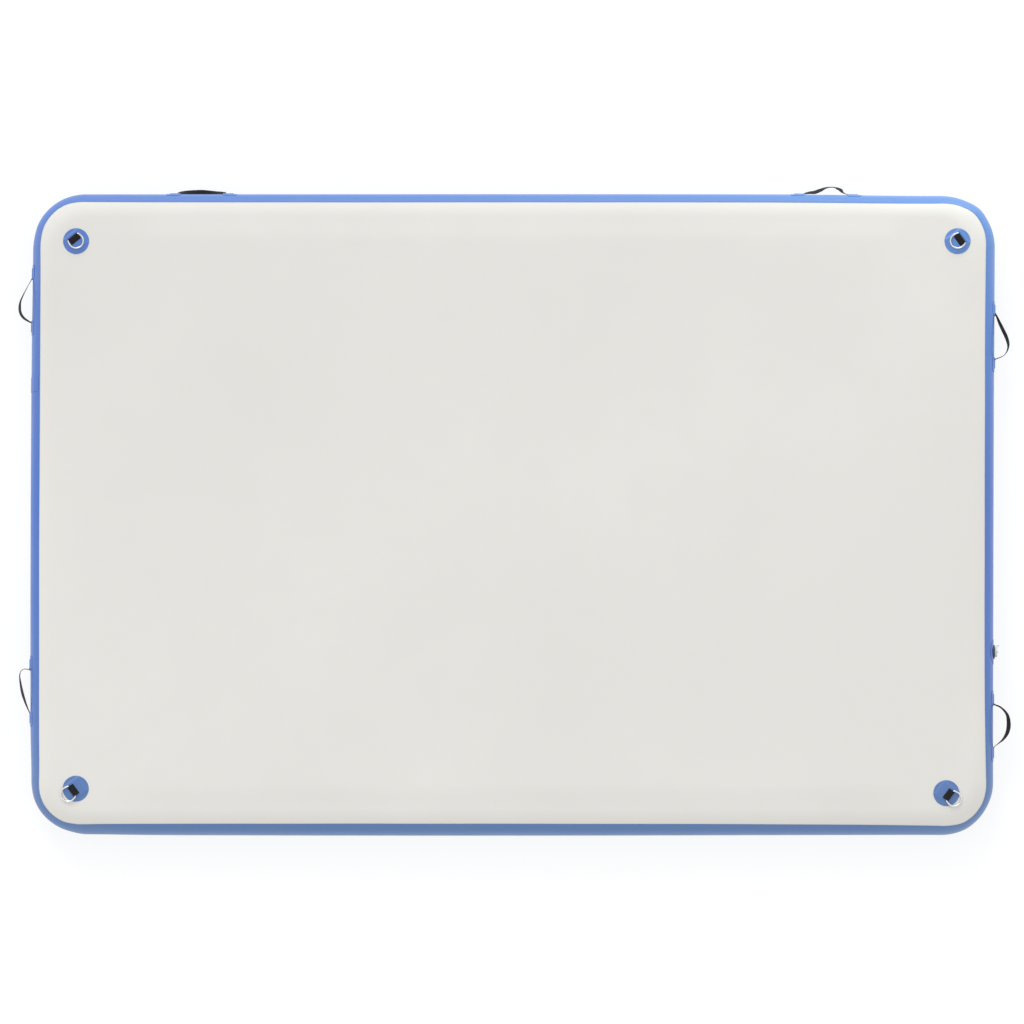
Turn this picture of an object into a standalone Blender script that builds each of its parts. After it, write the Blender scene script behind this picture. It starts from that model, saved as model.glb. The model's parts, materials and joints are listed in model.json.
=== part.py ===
"""Inflatable drop-stitch air mat, 3 x 2 m and 150 mm thick, lying flat with its deck up.

The origin is at the centre of the flat underside. +X is the long direction, +Y the back, +Z up.
The edge all round is a half-round bulge: its centre line is a rounded rectangle at mid thickness, and
every layer of skin, wall and tape follows it at a radius of its own.
"""

from math import asin, cos, pi, radians, sin

import bmesh
import bpy
from mathutils import Matrix, Vector

# Overall size, in metres
LENGTH = 3.0
WIDTH = 2.0
THICKNESS = 0.150
OUTLINE_CORNER = 0.172
GAP = 0.0003
CUT_REACH = 0.05  # how far a cutter runs past the sheet that it cuts

# Layers of the bulged edge: radii from the bulge's centre line
MIDDLE = THICKNESS / 2
SKIN_RADIUS = MIDDLE
SKIN_SHEET = 0.0009
BAND_SHEET = 0.0009
BAND_RADIUS = SKIN_RADIUS + GAP + BAND_SHEET
WALL_RADIUS = SKIN_RADIUS - SKIN_SHEET - GAP
WALL_SHEET = 0.0009
TAPE_RADIUS = WALL_RADIUS - WALL_SHEET - GAP
TAPE_SHEET = 0.0008
FACET = 15  # degrees between the lines that all layers share

# Where each layer starts and ends round the bulge, in degrees above the middle
SKIN_EDGE = 30
BAND_EDGE = 50
WALL_EDGE = 75
TAPE_EDGES = (45, 75)

# Drop-stitch cloth
CLOTH_SHEET = 0.0006
CLOTH_INSET = 0.012
CLOTH_CORNER_CUT = 0.030
YARN_COLUMNS = 11
YARN_ROWS = 7
YARN_BUNDLE = 0.012

# Band splice, on the left wall
SPLICE_Y = 0.404
SPLICE_WIDTH = 0.045
SPLICE_EDGE = BAND_EDGE - 1
PATCH_SHEET = 0.0010

# D-ring fittings on the deck: (x, y) of each disc's centre and its tab's heading in degrees
RING_FITTINGS = {
    "ring_back_left": (-1.359, 0.849, 129.0),
    "ring_back_right": (1.389, 0.849, 35.5),
    "ring_front_left": (-1.358, -0.862, -144.0),
    "ring_front_right": (1.352, -0.876, -37.0),
}
RINGS_FOLDED_IN = ("ring_back_left", "ring_back_right")
DISC_RADIUS = 0.040
UNDERLAY_RADIUS = 0.029
DISC_RIM = 0.0055
DISC_SHOULDER = 0.001
WEBBING = 0.0014
TAB_WIDTH = 0.0350
TAB_FOOT = 0.021
TAB_REACH = 0.0152
SLIT_LENGTH = 0.0372
SLIT_WIDTH = 0.0042
WIRE = 0.0025
RING_BOW = 0.0225
RING_BACK = 0.0145
RING_BAR_HALF = 0.0205
RING_CORNER = 0.0029
RING_CLEARANCE = 0.0006

# Handle straps. "heading" turns the wall's outward direction from +X; "along" is the strap's middle
# along that wall. The bow is a curve from one strap root to the other, given by the angle and pull
# with which it leaves each root, and "droop" turns the whole bow about the line through its roots.
STRAP_WIDTH = 0.025
STRAP_ROOT_WIDTH = 0.016
STRAP_THICK = 0.0020
STRAP_SPREAD = 0.024  # distance from the roots at which the strap is at its full width
STRAP_STEPS = 18
HINGE_OFFSET = 0.0112
SPAN = 0.128
ANCHOR_LENGTH = 0.044
ANCHOR_SHEET = 0.0022
ANCHOR_EDGE = 22.5
ANCHOR_OVERLAP = 0.006
HANDLES = {
    "handle_left_back": dict(
        heading=180, along=0.670, start=(50, 0.044), end=(78, 0.052), droop=0, twist=14
    ),
    "handle_left_front": dict(
        heading=180, along=-0.553, start=(88, 0.040), end=(42, 0.024), droop=0, twist=10
    ),
    "handle_right_back": dict(
        heading=0, along=0.556, start=(68, 0.052), end=(46, 0.034), droop=0, twist=16
    ),
    "handle_right_front": dict(
        heading=0, along=-0.662, start=(62, 0.054), end=(74, 0.064), droop=0, twist=16
    ),
    "handle_back_left": dict(
        heading=90, along=-0.968, start=(66, 0.040), end=(66, 0.040), droop=-86, twist=0
    ),
    "handle_back_right": dict(
        heading=90, along=0.980, start=(64, 0.044), end=(56, 0.036), droop=-70, twist=-18
    ),
}

# Valve on the right wall
VALVE_Y = -0.430
VALVE_PATCH_RADIUS = 0.039
VALVE_PATCH_EDGE = 45
CUTTER_TURN = 3
NECK_OUTER = 0.0145
NECK_INNER = 0.0118
WALL_HOLE = 0.0151
FLANGE_RADIUS = 0.0220
FLANGE_TOP = 0.0045
FLANGE_DEPTH = 0.012
BEVEL = 0.001
COLLAR_OUTER = 0.0142
COLLAR_INNER = 0.0122
COLLAR_TOP = 0.0075
MOUTH_DEPTH = 0.003
NECK_DEPTH = 0.030
SEAT_INNER = 0.0080
SEAT_LIP = 0.0030
SPIDER_DEPTH = 0.0165
SPIDER_SHEET = 0.0025
SPIDER_WINDOW = 0.0025
STEM_RADIUS = 0.0030
STEM_FIT = 0.0004
CAP_RADIUS = 0.0162
CAP_TOP = 0.0125
CAP_WALL = 0.0020
CAP_ROUND = 0.0025
CAP_FIT = 0.0004
CAP_GRIP = (0.022, 0.004, 0.005)
CAP_GRIP_RISE = 0.0012
NUT_RADIUS = 0.022
NUT_DEPTH = 0.014
SADDLE_FIT = 0.0002

# Air valve inside the neck: heights from the band's outer face
STEM_TOP = -0.0045
STEM_HEAD = 0.0052
STEM_HEAD_DEPTH = 0.0022
STEM_HEAD_ROUND = 0.0012
STEM_KEEPER = 0.0060
STEM_KEEPER_DEPTH = 0.0015
DIAPHRAGM_RADIUS = 0.0105
DIAPHRAGM_DEPTH = 0.0026
DIAPHRAGM_TAPER = 0.0002
SPRING_WIRE = 0.00045
SPRING_RADIUS = 0.0042
SPRING_TURNS = 3.5

# Cap tether, a small strap and knob beside the cap
TETHER_CLEARANCE = 0.0005
TETHER_BAND = 0.0028
TETHER_SHEET = 0.0012
TETHER_WIDTH = 0.006
TETHER_RISE = 0.0025
KNOB_RADIUS = 0.0026
KNOB_TOP = 0.0042
KNOB_ROUND = 0.0010

HALF_X = LENGTH / 2 - BAND_RADIUS
HALF_Y = WIDTH / 2 - BAND_RADIUS
PATH_CORNER = OUTLINE_CORNER - BAND_RADIUS
PATCH_RADIUS = BAND_RADIUS + GAP + PATCH_SHEET
VALVE_FACE = LENGTH / 2

DECK_GREY = (0.80, 0.80, 0.77)
BAND_BLUE = (0.13, 0.25, 0.62)


def clear_scene():
    for item in list(bpy.data.objects):
        bpy.data.objects.remove(item, do_unlink=True)


def paint(name, colour, roughness=0.5, metallic=0.0):
    material = bpy.data.materials.new(name)
    material.use_nodes = True
    shader = material.node_tree.nodes["Principled BSDF"]
    shader.inputs["Base Color"].default_value = (*colour, 1.0)
    shader.inputs["Roughness"].default_value = roughness
    shader.inputs["Metallic"].default_value = metallic
    return material


def add_object(name, bm, material, place=None, smooth=35):
    """Turns a bmesh into a named object; place is its world matrix."""
    bmesh.ops.recalc_face_normals(bm, faces=bm.faces)
    mesh = bpy.data.meshes.new(name)
    bm.to_mesh(mesh)
    bm.free()
    mesh.materials.append(material)
    mesh.shade_smooth()
    mesh.set_sharp_from_angle(angle=radians(smooth))
    item = bpy.data.objects.new(name, mesh)
    bpy.context.scene.collection.objects.link(item)
    if place is not None:
        item.matrix_world = place
    return item


def cutter(name, bm, place=None):
    """A solid that only shapes others: hidden from the render and drawn as wire."""
    bmesh.ops.recalc_face_normals(bm, faces=bm.faces)
    mesh = bpy.data.meshes.new(name)
    bm.to_mesh(mesh)
    bm.free()
    item = bpy.data.objects.new(name, mesh)
    bpy.context.scene.collection.objects.link(item)
    item.hide_render = True
    item.display_type = "WIRE"
    if place is not None:
        item.matrix_world = place
    return item


def apply_boolean(item, tool, operation="DIFFERENCE"):
    step = item.modifiers.new(tool.name, "BOOLEAN")
    step.operation = operation
    step.solver = "EXACT"
    step.object = tool


# Rounded rectangle and the layers round it


def outline_path():
    """Points of the bulge's centre line and their outward directions, corner by corner."""
    turns = range(0, 91, FACET)
    centres = ((1, 1, 0), (-1, 1, 90), (-1, -1, 180), (1, -1, 270))
    path = []
    for sx, sy, start in centres:
        middle = Vector((sx * (HALF_X - PATH_CORNER), sy * (HALF_Y - PATH_CORNER), 0))
        for turn in turns:
            angle = radians(start + turn)
            outward = Vector((cos(angle), sin(angle), 0))
            path.append((middle + outward * PATH_CORNER, outward))
    return path


def arc_angles(first, last):
    """Angles from first to last, with every shared facet line between them."""
    low, high = sorted((first, last))
    inner = [a for a in range(-90, 91, FACET) if low < a < high]
    angles = [low, *inner, high]
    return angles if first == low else angles[::-1]


def arc(radius, first, last):
    """(outward, up) points of an arc round the bulge's centre line."""
    return [(radius * cos(radians(a)), radius * sin(radians(a))) for a in arc_angles(first, last)]


def loops_round(bm, profile):
    """One loop of vertices round the mat for each (outward, up) point."""
    path = outline_path()
    return [
        [bm.verts.new(point + outward * out + Vector((0, 0, MIDDLE + up))) for point, outward in path]
        for out, up in profile
    ]


def skin_between(bm, first, second):
    count = len(first)
    for i in range(count):
        j = (i + 1) % count
        bm.faces.new((first[i], first[j], second[j], second[i]))


def edge_layer(radius, sheet, first, last):
    """A closed ring of sheet following the bulge between two angles."""
    bm = bmesh.new()
    loops = loops_round(bm, arc(radius, first, last) + arc(radius - sheet, last, first))
    for i, loop in enumerate(loops):
        skin_between(bm, loop, loops[(i + 1) % len(loops)])
    return bm


def face_skin(side):
    """The deck's or the underside's sheet: flat, and bent down over the bulge to its edge."""
    bm = bmesh.new()
    outer = arc(SKIN_RADIUS, 90, SKIN_EDGE)
    inner = arc(SKIN_RADIUS - SKIN_SHEET, SKIN_EDGE, 90)
    loops = loops_round(bm, [(out, side * up) for out, up in outer + inner])
    for first, second in zip(loops, loops[1:]):
        skin_between(bm, first, second)
    bm.faces.new(loops[0])
    bm.faces.new(loops[-1])
    return bm


def drop_stitch_cloth():
    """Two base cloths joined by upright yarn bundles, as one open-sided body."""
    bm = bmesh.new()
    half_x = HALF_X - CLOTH_INSET
    half_y = HALF_Y - CLOTH_INSET
    top_out = THICKNESS - SKIN_SHEET - 2 * GAP
    top_in = top_out - CLOTH_SHEET

    def lines(half, bundles):
        pitch = 2 * half / bundles
        at = [-half]
        for i in range(bundles):
            middle = -half + pitch * (i + 0.5)
            at += [middle - YARN_BUNDLE / 2, middle + YARN_BUNDLE / 2]
        return [*at, half]

    xs = lines(half_x, YARN_COLUMNS)
    ys = lines(half_y, YARN_ROWS)

    def cloth_point(x, y, z):
        corner = abs(x) == half_x and abs(y) == half_y
        pull_x = 1 - CLOTH_CORNER_CUT / half_x if corner else 1
        pull_y = 1 - CLOTH_CORNER_CUT / half_y if corner else 1
        return bm.verts.new((x * pull_x, y * pull_y, z))

    def grid(z):
        return [[cloth_point(x, y, z) for y in ys] for x in xs]

    upper, lower = grid(top_in), grid(THICKNESS - top_in)
    for i in range(len(xs) - 1):
        for j in range(len(ys) - 1):
            cells = [
                [g[i][j], g[i + 1][j], g[i + 1][j + 1], g[i][j + 1]] for g in (upper, lower)
            ]
            if i % 2 and j % 2:
                skin_between(bm, *cells)
            else:
                for cell in cells:
                    bm.faces.new(cell)
    for g, z in ((upper, top_out), (lower, THICKNESS - top_out)):
        rim = [column[0] for column in g]
        rim += g[-1][1:]
        rim += [column[-1] for column in g[-2::-1]]
        rim += g[0][-2:0:-1]
        outer = [bm.verts.new((v.co.x, v.co.y, z)) for v in rim]
        skin_between(bm, rim, outer)
        bm.faces.new(outer)
    return bm


def wall_patch(radius, sheet, edge, length):
    """A sheet on a straight wall: +X outward, +Y along, origin on the bulge's centre line."""
    bm = bmesh.new()
    section = arc(radius, -edge, edge) + arc(radius - sheet, edge, -edge)
    ends = [
        [bm.verts.new((out, along, up)) for out, up in section]
        for along in (-length / 2, length / 2)
    ]
    skin_between(bm, *ends)
    for end in ends:
        half = len(end) // 2
        for i in range(half - 1):
            bm.faces.new((end[i], end[i + 1], end[-2 - i], end[-1 - i]))
    return bm


def wall_place(heading, along):
    """World matrix of a wall's own frame: +X outward, origin on the bulge's centre line."""
    half = {0: HALF_X, 90: HALF_Y, 180: HALF_X}[heading]
    turn = Matrix.Rotation(radians(heading), 4, "Z")
    outward = turn @ Vector((half, 0, MIDDLE))
    shift = Vector((along, 0, 0)) if heading == 90 else Vector((0, along, 0))
    return Matrix.Translation(outward + shift) @ turn


# Simple solids


def rod(inner, outer, low, high):
    """Section of a tube, or of a rod where inner is 0, for lathe()."""
    return [(inner, low), (outer, low), (outer, high), (inner, high)]


def lathe(profile, steps=32):
    """Turns (radius, height) points round +Z; a point at radius 0 becomes the axis."""
    bm = bmesh.new()
    loops = []
    for radius, height in profile:
        if radius == 0:
            loops.append([bm.verts.new((0, 0, height))])
            continue
        turns = [2 * pi * i / steps for i in range(steps)]
        loops.append([bm.verts.new((radius * cos(t), radius * sin(t), height)) for t in turns])
    for first, second in zip(loops, loops[1:] + loops[:1]):
        for i in range(steps):
            j = (i + 1) % steps
            corners = [first[i % len(first)], first[j % len(first)]]
            corners += [second[j % len(second)], second[i % len(second)]]
            face = list(dict.fromkeys(corners))
            if len(face) > 2:
                bm.faces.new(face)
    return bm


def box(size, centre=(0, 0, 0)):
    bm = bmesh.new()
    bmesh.ops.create_cube(bm, size=1.0)
    bmesh.ops.scale(bm, vec=size, verts=bm.verts)
    bmesh.ops.translate(bm, vec=centre, verts=bm.verts)
    return bm


def extrusion(outline, width):
    """An outline of (x, z) points drawn out along Y, centred."""
    bm = bmesh.new()
    sides = [[bm.verts.new((x, y, z)) for x, z in outline] for y in (-width / 2, width / 2)]
    skin_between(bm, *sides)
    for side in sides:
        bm.faces.new(side)
    return bm


def tube_along(points, radius, sides):
    """A closed ring of round wire through points that all lie in the plane z = 0."""
    bm = bmesh.new()
    count = len(points)
    rings = []
    for i, point in enumerate(points):
        before = points[(i - 1) % count]
        after = points[(i + 1) % count]
        tangent = (after - before).normalized()
        across = Vector((tangent.y, -tangent.x, 0))
        turns = [2 * pi * k / sides for k in range(sides)]
        rings.append(
            [bm.verts.new(point + radius * (cos(t) * across + sin(t) * Vector((0, 0, 1)))) for t in turns]
        )
    for first, second in zip(rings, rings[1:] + rings[:1]):
        skin_between(bm, first, second)
    return bm


# The mat's body


def make_body(paints):
    add_object("top_skin", face_skin(1), paints["deck"])
    add_object("bottom_skin", face_skin(-1), paints["deck"])
    add_object("drop_stitch_fabric", drop_stitch_cloth(), paints["cloth"])
    band_sheet = edge_layer(BAND_RADIUS, BAND_SHEET, -BAND_EDGE, BAND_EDGE)
    band = add_object("outer_side_band", band_sheet, paints["band"])
    wall_sheet = edge_layer(WALL_RADIUS, WALL_SHEET, -WALL_EDGE, WALL_EDGE)
    wall = add_object("inner_side_wall", wall_sheet, paints["wall"])
    low, high = TAPE_EDGES
    add_object("inner_seam_tape_upper", edge_layer(TAPE_RADIUS, TAPE_SHEET, low, high), paints["tape"])
    add_object("inner_seam_tape_lower", edge_layer(TAPE_RADIUS, TAPE_SHEET, -high, -low), paints["tape"])
    splice = wall_patch(PATCH_RADIUS, PATCH_SHEET, SPLICE_EDGE, SPLICE_WIDTH)
    add_object("band_splice", splice, paints["band"], wall_place(180, SPLICE_Y))
    hole = cutter("valve_hole", lathe(rod(0, WALL_HOLE, -CUT_REACH, CUT_REACH)), turned_valve())
    apply_boolean(band, hole)
    apply_boolean(wall, hole)


# D-ring fittings


def tab_section():
    """The webbing tab's outline in the plane across the bar, as (outward, up) points.

    Height 0 is the deck. The foot lies under the disc; the loop comes up through the slit at 0,
    lies outward over the disc, turns round the bar and comes back to the slit.
    """
    foot_low = GAP + PATCH_SHEET + GAP
    foot_high = foot_low + WEBBING
    bar_x, bar_z = bar_position()
    turn = WIRE + GAP + WEBBING
    loop_low = bar_z - turn
    neck = WEBBING
    nose = [(bar_x + turn * cos(radians(a)), bar_z + turn * sin(radians(a))) for a in range(-90, 111, 20)]
    outline = [(-TAB_FOOT, foot_low), (TAB_FOOT, foot_low), (TAB_FOOT, foot_high), (neck, foot_high)]
    outline += [(neck, loop_low), *nose, (-neck, loop_low + 2 * WEBBING)]
    outline += [(-neck, foot_high), (-TAB_FOOT, foot_high)]
    return outline


def bar_position():
    """The bar's centre beside the slit and above the deck."""
    return TAB_REACH, disc_crown() + GAP + WEBBING + GAP + WIRE


def disc_crown():
    """Height of the cover disc's raised middle above the deck."""
    return GAP + PATCH_SHEET + GAP + WEBBING + GAP + PATCH_SHEET


def d_ring_points():
    """Centre line of the D: the bar lies on x = 0 and the bow reaches towards +X."""
    bow = [radians(a) for a in range(-105, 106, 15)]
    points = [(RING_BACK + RING_BOW * cos(a), RING_BOW * sin(a)) for a in bow]
    middle = RING_BAR_HALF - RING_CORNER
    for side, start in ((1, 90), (-1, 180)):
        for turn in range(start, start + 91, 30):
            a = radians(turn)
            points.append((RING_CORNER + RING_CORNER * cos(a), side * middle + RING_CORNER * sin(a)))
    return [Vector((x, y, 0)) for x, y in points]


def ring_tilt(outward):
    """Angle by which a resting ring slopes down from its bar until its bow meets what is under it."""
    bar_z = bar_position()[1]
    rest = WIRE + RING_CLEARANCE + (0.0 if outward else disc_crown())
    reach = RING_BACK + RING_BOW
    return asin((bar_z - rest) / reach)


def make_ring_fitting(name, paints):
    x, y, heading = RING_FITTINGS[name]
    place = Matrix.Translation((x, y, THICKNESS)) @ Matrix.Rotation(radians(heading), 4, "Z")
    low = GAP
    under = rod(0, UNDERLAY_RADIUS, low, low + PATCH_SHEET)
    add_object(f"{name}_underlay", lathe(under), paints["tape"], place)
    crown = disc_crown()
    shoulder = UNDERLAY_RADIUS + DISC_SHOULDER
    cover = [(0, crown - PATCH_SHEET), (shoulder, crown - PATCH_SHEET)]
    cover += [(DISC_RADIUS - DISC_RIM, low), (DISC_RADIUS, low), (DISC_RADIUS, low + PATCH_SHEET)]
    cover += [(DISC_RADIUS - DISC_RIM, low + PATCH_SHEET), (shoulder, crown), (0, crown)]
    disc = add_object(f"{name}_cover", lathe(cover, steps=36), paints["band"], place)
    slit = cutter(f"{name}_slit", box((SLIT_WIDTH, SLIT_LENGTH, CUT_REACH)), place)
    apply_boolean(disc, slit)
    tab = add_object(f"{name}_tab", extrusion(tab_section(), TAB_WIDTH), paints["webbing"], place)
    bar_x, bar_z = bar_position()
    bar = place @ Matrix.Translation((bar_x, 0, bar_z))
    hole = lathe(rod(0, WIRE + GAP, -TAB_WIDTH, TAB_WIDTH), steps=16)
    apply_boolean(tab, cutter(f"{name}_bar_hole", hole, bar @ Matrix.Rotation(pi / 2, 4, "X")))
    folded = name in RINGS_FOLDED_IN
    lean = ring_tilt(not folded)
    bar = bar @ Matrix.Rotation(pi - lean if folded else lean, 4, "Y")
    add_object(f"{name}_d_ring", tube_along(d_ring_points(), WIRE, 8), paints["steel"], bar, 60)


# Handles


def bow_point(shape, u):
    """(along, out) of the strap's centre line, a cubic from root to root."""
    (a0, pull0), (a1, pull1) = shape["start"], shape["end"]
    half = SPAN / 2
    p0 = Vector((-half, 0))
    p1 = p0 + pull0 * Vector((cos(radians(a0)), sin(radians(a0))))
    p3 = Vector((half, 0))
    p2 = p3 + pull1 * Vector((-cos(radians(a1)), sin(radians(a1))))
    v = 1 - u
    return v**3 * p0 + 3 * v * v * u * p1 + 3 * v * u * u * p2 + u**3 * p3


def strap_sections(shape):
    """(centre, tangent, half width, twist share) of each section, tongue to tongue."""
    steps = STRAP_STEPS
    line = [bow_point(shape, i / steps) for i in range(steps + 1)]
    root = STRAP_ROOT_WIDTH / 2
    sections = []
    for i, point in enumerate(line):
        ahead = line[min(i + 1, steps)] - line[max(i - 1, 0)]
        spread = min(1.0, max(point.y, 0) / STRAP_SPREAD)
        ease = spread * spread * (3 - 2 * spread)
        half = root + (STRAP_WIDTH / 2 - root) * ease
        sections.append((point, ahead.normalized(), half, sin(pi * i / steps) ** 2))
    tongue = [0.5, 0.8, 0.97]
    first, last = sections[0], sections[-1]
    starts = [(first[0] - first[1] * root * s, first[1], root * (1 - s * s) ** 0.5, 0.0) for s in tongue]
    ends = [(last[0] + last[1] * root * s, last[1], root * (1 - s * s) ** 0.5, 0.0) for s in tongue]
    return starts[::-1] + sections + ends


def strap_mesh(shape):
    """The strap in its hinge's frame: +Y along the wall, +X outward, origin on the hinge line."""
    bm = bmesh.new()
    droop = Matrix.Rotation(radians(-shape["droop"]), 4, "Y")
    rings = []
    for centre, tangent, half, share in strap_sections(shape):
        forward = Vector((tangent.y, tangent.x, 0))
        across = Matrix.Rotation(radians(shape["twist"]) * share, 3, forward) @ Vector((0, 0, 1))
        face = forward.cross(across)
        middle = Vector((centre.y, centre.x, 0))
        thick = STRAP_THICK / 2
        corners = ((half, thick), (half, -thick), (-half, -thick), (-half, thick))
        rings.append([bm.verts.new(droop @ (middle + across * w + face * t)) for w, t in corners])
    for first, second in zip(rings, rings[1:]):
        skin_between(bm, first, second)
    bm.faces.new(rings[0])
    bm.faces.new(rings[-1])
    return bm


def make_handle(name, paints):
    shape = HANDLES[name]
    wall = wall_place(shape["heading"], shape["along"])
    hinge = wall @ Matrix.Translation((BAND_RADIUS + HINGE_OFFSET, 0, 0))
    add_object(f"{name}_strap", strap_mesh(shape), paints["webbing"], hinge)
    radius = BAND_RADIUS + GAP + ANCHOR_SHEET
    offset = SPAN / 2 + STRAP_ROOT_WIDTH / 2 + ANCHOR_LENGTH / 2 - ANCHOR_OVERLAP
    for number, along in ((1, -offset), (2, offset)):
        patch = wall_patch(radius, ANCHOR_SHEET, ANCHOR_EDGE, ANCHOR_LENGTH)
        place = wall @ Matrix.Translation((0, along, 0))
        add_object(f"{name}_anchor_{number}", patch, paints["band"], place)


# Valve: made along +Z, with height 0 on the band's outer face, then turned to point out of the wall


def valve_place():
    turn = Matrix.Rotation(pi / 2, 4, "Y")
    return Matrix.Translation((VALVE_FACE, VALVE_Y, MIDDLE)) @ turn


def turned_valve():
    """The valve's place turned a little on its axis: a cutter's corners then miss the wall's ridge."""
    return valve_place() @ Matrix.Rotation(radians(CUTTER_TURN), 4, "Z")


def bulge_bar(name, radius):
    """A bar of the wall's own section at the valve, to shape what lies against the wall."""
    bm = bmesh.new()
    section = arc(radius, -90, 90)
    reach = 1.5 * VALVE_PATCH_RADIUS
    ends = [[bm.verts.new((out, along, up)) for out, up in section] for along in (-reach, reach)]
    skin_between(bm, *ends)
    for end in ends:
        bm.faces.new(end)
    return cutter(name, bm, wall_place(0, VALVE_Y))


def make_valve_patch(paints):
    """A round patch with the valve's hole, cut from a sheet on the wall."""
    patch = wall_patch(PATCH_RADIUS, PATCH_SHEET, VALVE_PATCH_EDGE, 2.4 * VALVE_PATCH_RADIUS)
    item = add_object("valve_patch", patch, paints["band"], wall_place(0, VALVE_Y))
    ring = lathe(rod(WALL_HOLE, VALVE_PATCH_RADIUS, -CUT_REACH, CUT_REACH), steps=36)
    apply_boolean(item, cutter("valve_patch_ring", ring, turned_valve()), "INTERSECT")


def make_valve_body(paints):
    """Flange, collar and neck in one, with a spider for the stem and a seat lip at the inner end."""
    spider_top = -SPIDER_DEPTH + SPIDER_SHEET
    profile = [
        (STEM_RADIUS + STEM_FIT, -SPIDER_DEPTH),
        (NECK_INNER, -SPIDER_DEPTH),
        (NECK_INNER, -NECK_DEPTH + SEAT_LIP),
        (SEAT_INNER, -NECK_DEPTH + SEAT_LIP),
        (SEAT_INNER, -NECK_DEPTH),
        (NECK_OUTER, -NECK_DEPTH),
        (NECK_OUTER, -FLANGE_DEPTH),
        (FLANGE_RADIUS, -FLANGE_DEPTH),
        (FLANGE_RADIUS, FLANGE_TOP - BEVEL),
        (FLANGE_RADIUS - BEVEL, FLANGE_TOP),
        (COLLAR_OUTER, FLANGE_TOP),
        (COLLAR_OUTER, COLLAR_TOP),
        (COLLAR_INNER, COLLAR_TOP),
        (NECK_INNER, COLLAR_TOP - MOUTH_DEPTH),
        (NECK_INNER, spider_top),
        (STEM_RADIUS + STEM_FIT, spider_top),
    ]
    body = add_object("valve_body", lathe(profile), paints["valve"], valve_place())
    apply_boolean(body, saddle_tool())
    for number in range(4):
        angle = radians(45 + 90 * number)
        window = lathe(rod(0, SPIDER_WINDOW, -SPIDER_SHEET, SPIDER_SHEET), steps=12)
        out = (STEM_RADIUS + NECK_INNER) / 2
        at = Matrix.Translation((out * cos(angle), out * sin(angle), -SPIDER_DEPTH + SPIDER_SHEET / 2))
        apply_boolean(body, cutter(f"spider_window_{number + 1}", window, valve_place() @ at))


def saddle_tool():
    """What the flange's underside is cut to: the patched wall, without the hole that the neck fills."""
    block = bulge_bar("flange_saddle", PATCH_RADIUS + GAP)
    reach = NECK_OUTER + SADDLE_FIT
    core = lathe(rod(0, reach, -2 * CUT_REACH, CUT_REACH))
    apply_boolean(block, cutter("flange_saddle_core", core, valve_place()))
    return block


def make_valve_inside(paints):
    place = valve_place()
    nut = rod(WALL_HOLE, NUT_RADIUS, -NUT_DEPTH, 0.0)
    ring = add_object("valve_nut", lathe(nut), paints["valve"], place)
    apply_boolean(ring, bulge_bar("nut_fit", TAPE_RADIUS), "INTERSECT")
    seat = -NECK_DEPTH
    under_head = STEM_TOP - STEM_HEAD_DEPTH
    keeper_top = seat - DIAPHRAGM_DEPTH - GAP
    stem = [
        (0, STEM_TOP),
        (STEM_HEAD - STEM_HEAD_ROUND, STEM_TOP),
        (STEM_HEAD, STEM_TOP - STEM_HEAD_ROUND),
        (STEM_HEAD, under_head),
        (STEM_RADIUS, under_head),
        (STEM_RADIUS, keeper_top),
        (STEM_KEEPER, keeper_top),
        (STEM_KEEPER, keeper_top - STEM_KEEPER_DEPTH),
        (0, keeper_top - STEM_KEEPER_DEPTH),
    ]
    add_object("valve_stem", lathe(stem, steps=20), paints["valve_pale"], place)
    washer = [
        (STEM_RADIUS + GAP, seat - DIAPHRAGM_DEPTH),
        (DIAPHRAGM_RADIUS, seat - DIAPHRAGM_DEPTH + DIAPHRAGM_TAPER),
        (DIAPHRAGM_RADIUS, seat - GAP),
        (STEM_RADIUS + GAP, seat - GAP),
    ]
    add_object("valve_diaphragm", lathe(washer, steps=28), paints["rubber"], place)
    make_spring(under_head, -SPIDER_DEPTH + SPIDER_SHEET, paints)


def make_spring(top, bottom, paints):
    """A coil between the stem's head and the spider."""
    per_turn = 12
    high = top - SPRING_WIRE - GAP
    low = bottom + SPRING_WIRE + GAP
    count = int(SPRING_TURNS * per_turn)
    bm = bmesh.new()
    rings = []
    for i in range(count + 1):
        angle = 2 * pi * i / per_turn
        outward = Vector((cos(angle), sin(angle), 0))
        centre = SPRING_RADIUS * outward + Vector((0, 0, high + (low - high) * i / count))
        ring = []
        for t in (radians(a) for a in range(0, 360, 60)):
            side = cos(t) * outward + sin(t) * Vector((0, 0, 1))
            ring.append(bm.verts.new(centre + SPRING_WIRE * side))
        rings.append(ring)
    for first, second in zip(rings, rings[1:]):
        skin_between(bm, first, second)
    bm.faces.new(rings[0])
    bm.faces.new(rings[-1])
    add_object("valve_spring", bm, paints["steel"], valve_place())


def make_cap(paints):
    place = valve_place()
    skirt = FLANGE_TOP + 2 * GAP
    roof = CAP_TOP - CAP_WALL
    bore = COLLAR_OUTER + CAP_FIT
    shell = [
        (bore, skirt),
        (CAP_RADIUS, skirt),
        (CAP_RADIUS, CAP_TOP - CAP_ROUND),
        (CAP_RADIUS - CAP_ROUND, CAP_TOP),
        (0, CAP_TOP),
        (0, roof),
        (bore, roof),
    ]
    cap = add_object("valve_cap", lathe(shell, steps=36), paints["cap"], place)
    grip = box(CAP_GRIP, (0, 0, CAP_TOP + CAP_GRIP_RISE))
    apply_boolean(cap, cutter("cap_grip_bar", grip, place), "UNION")
    gasket = rod(COLLAR_INNER - BEVEL, COLLAR_OUTER, COLLAR_TOP + GAP, roof - GAP)
    add_object("cap_gasket", lathe(gasket, steps=28), paints["rubber"], place)


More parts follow.
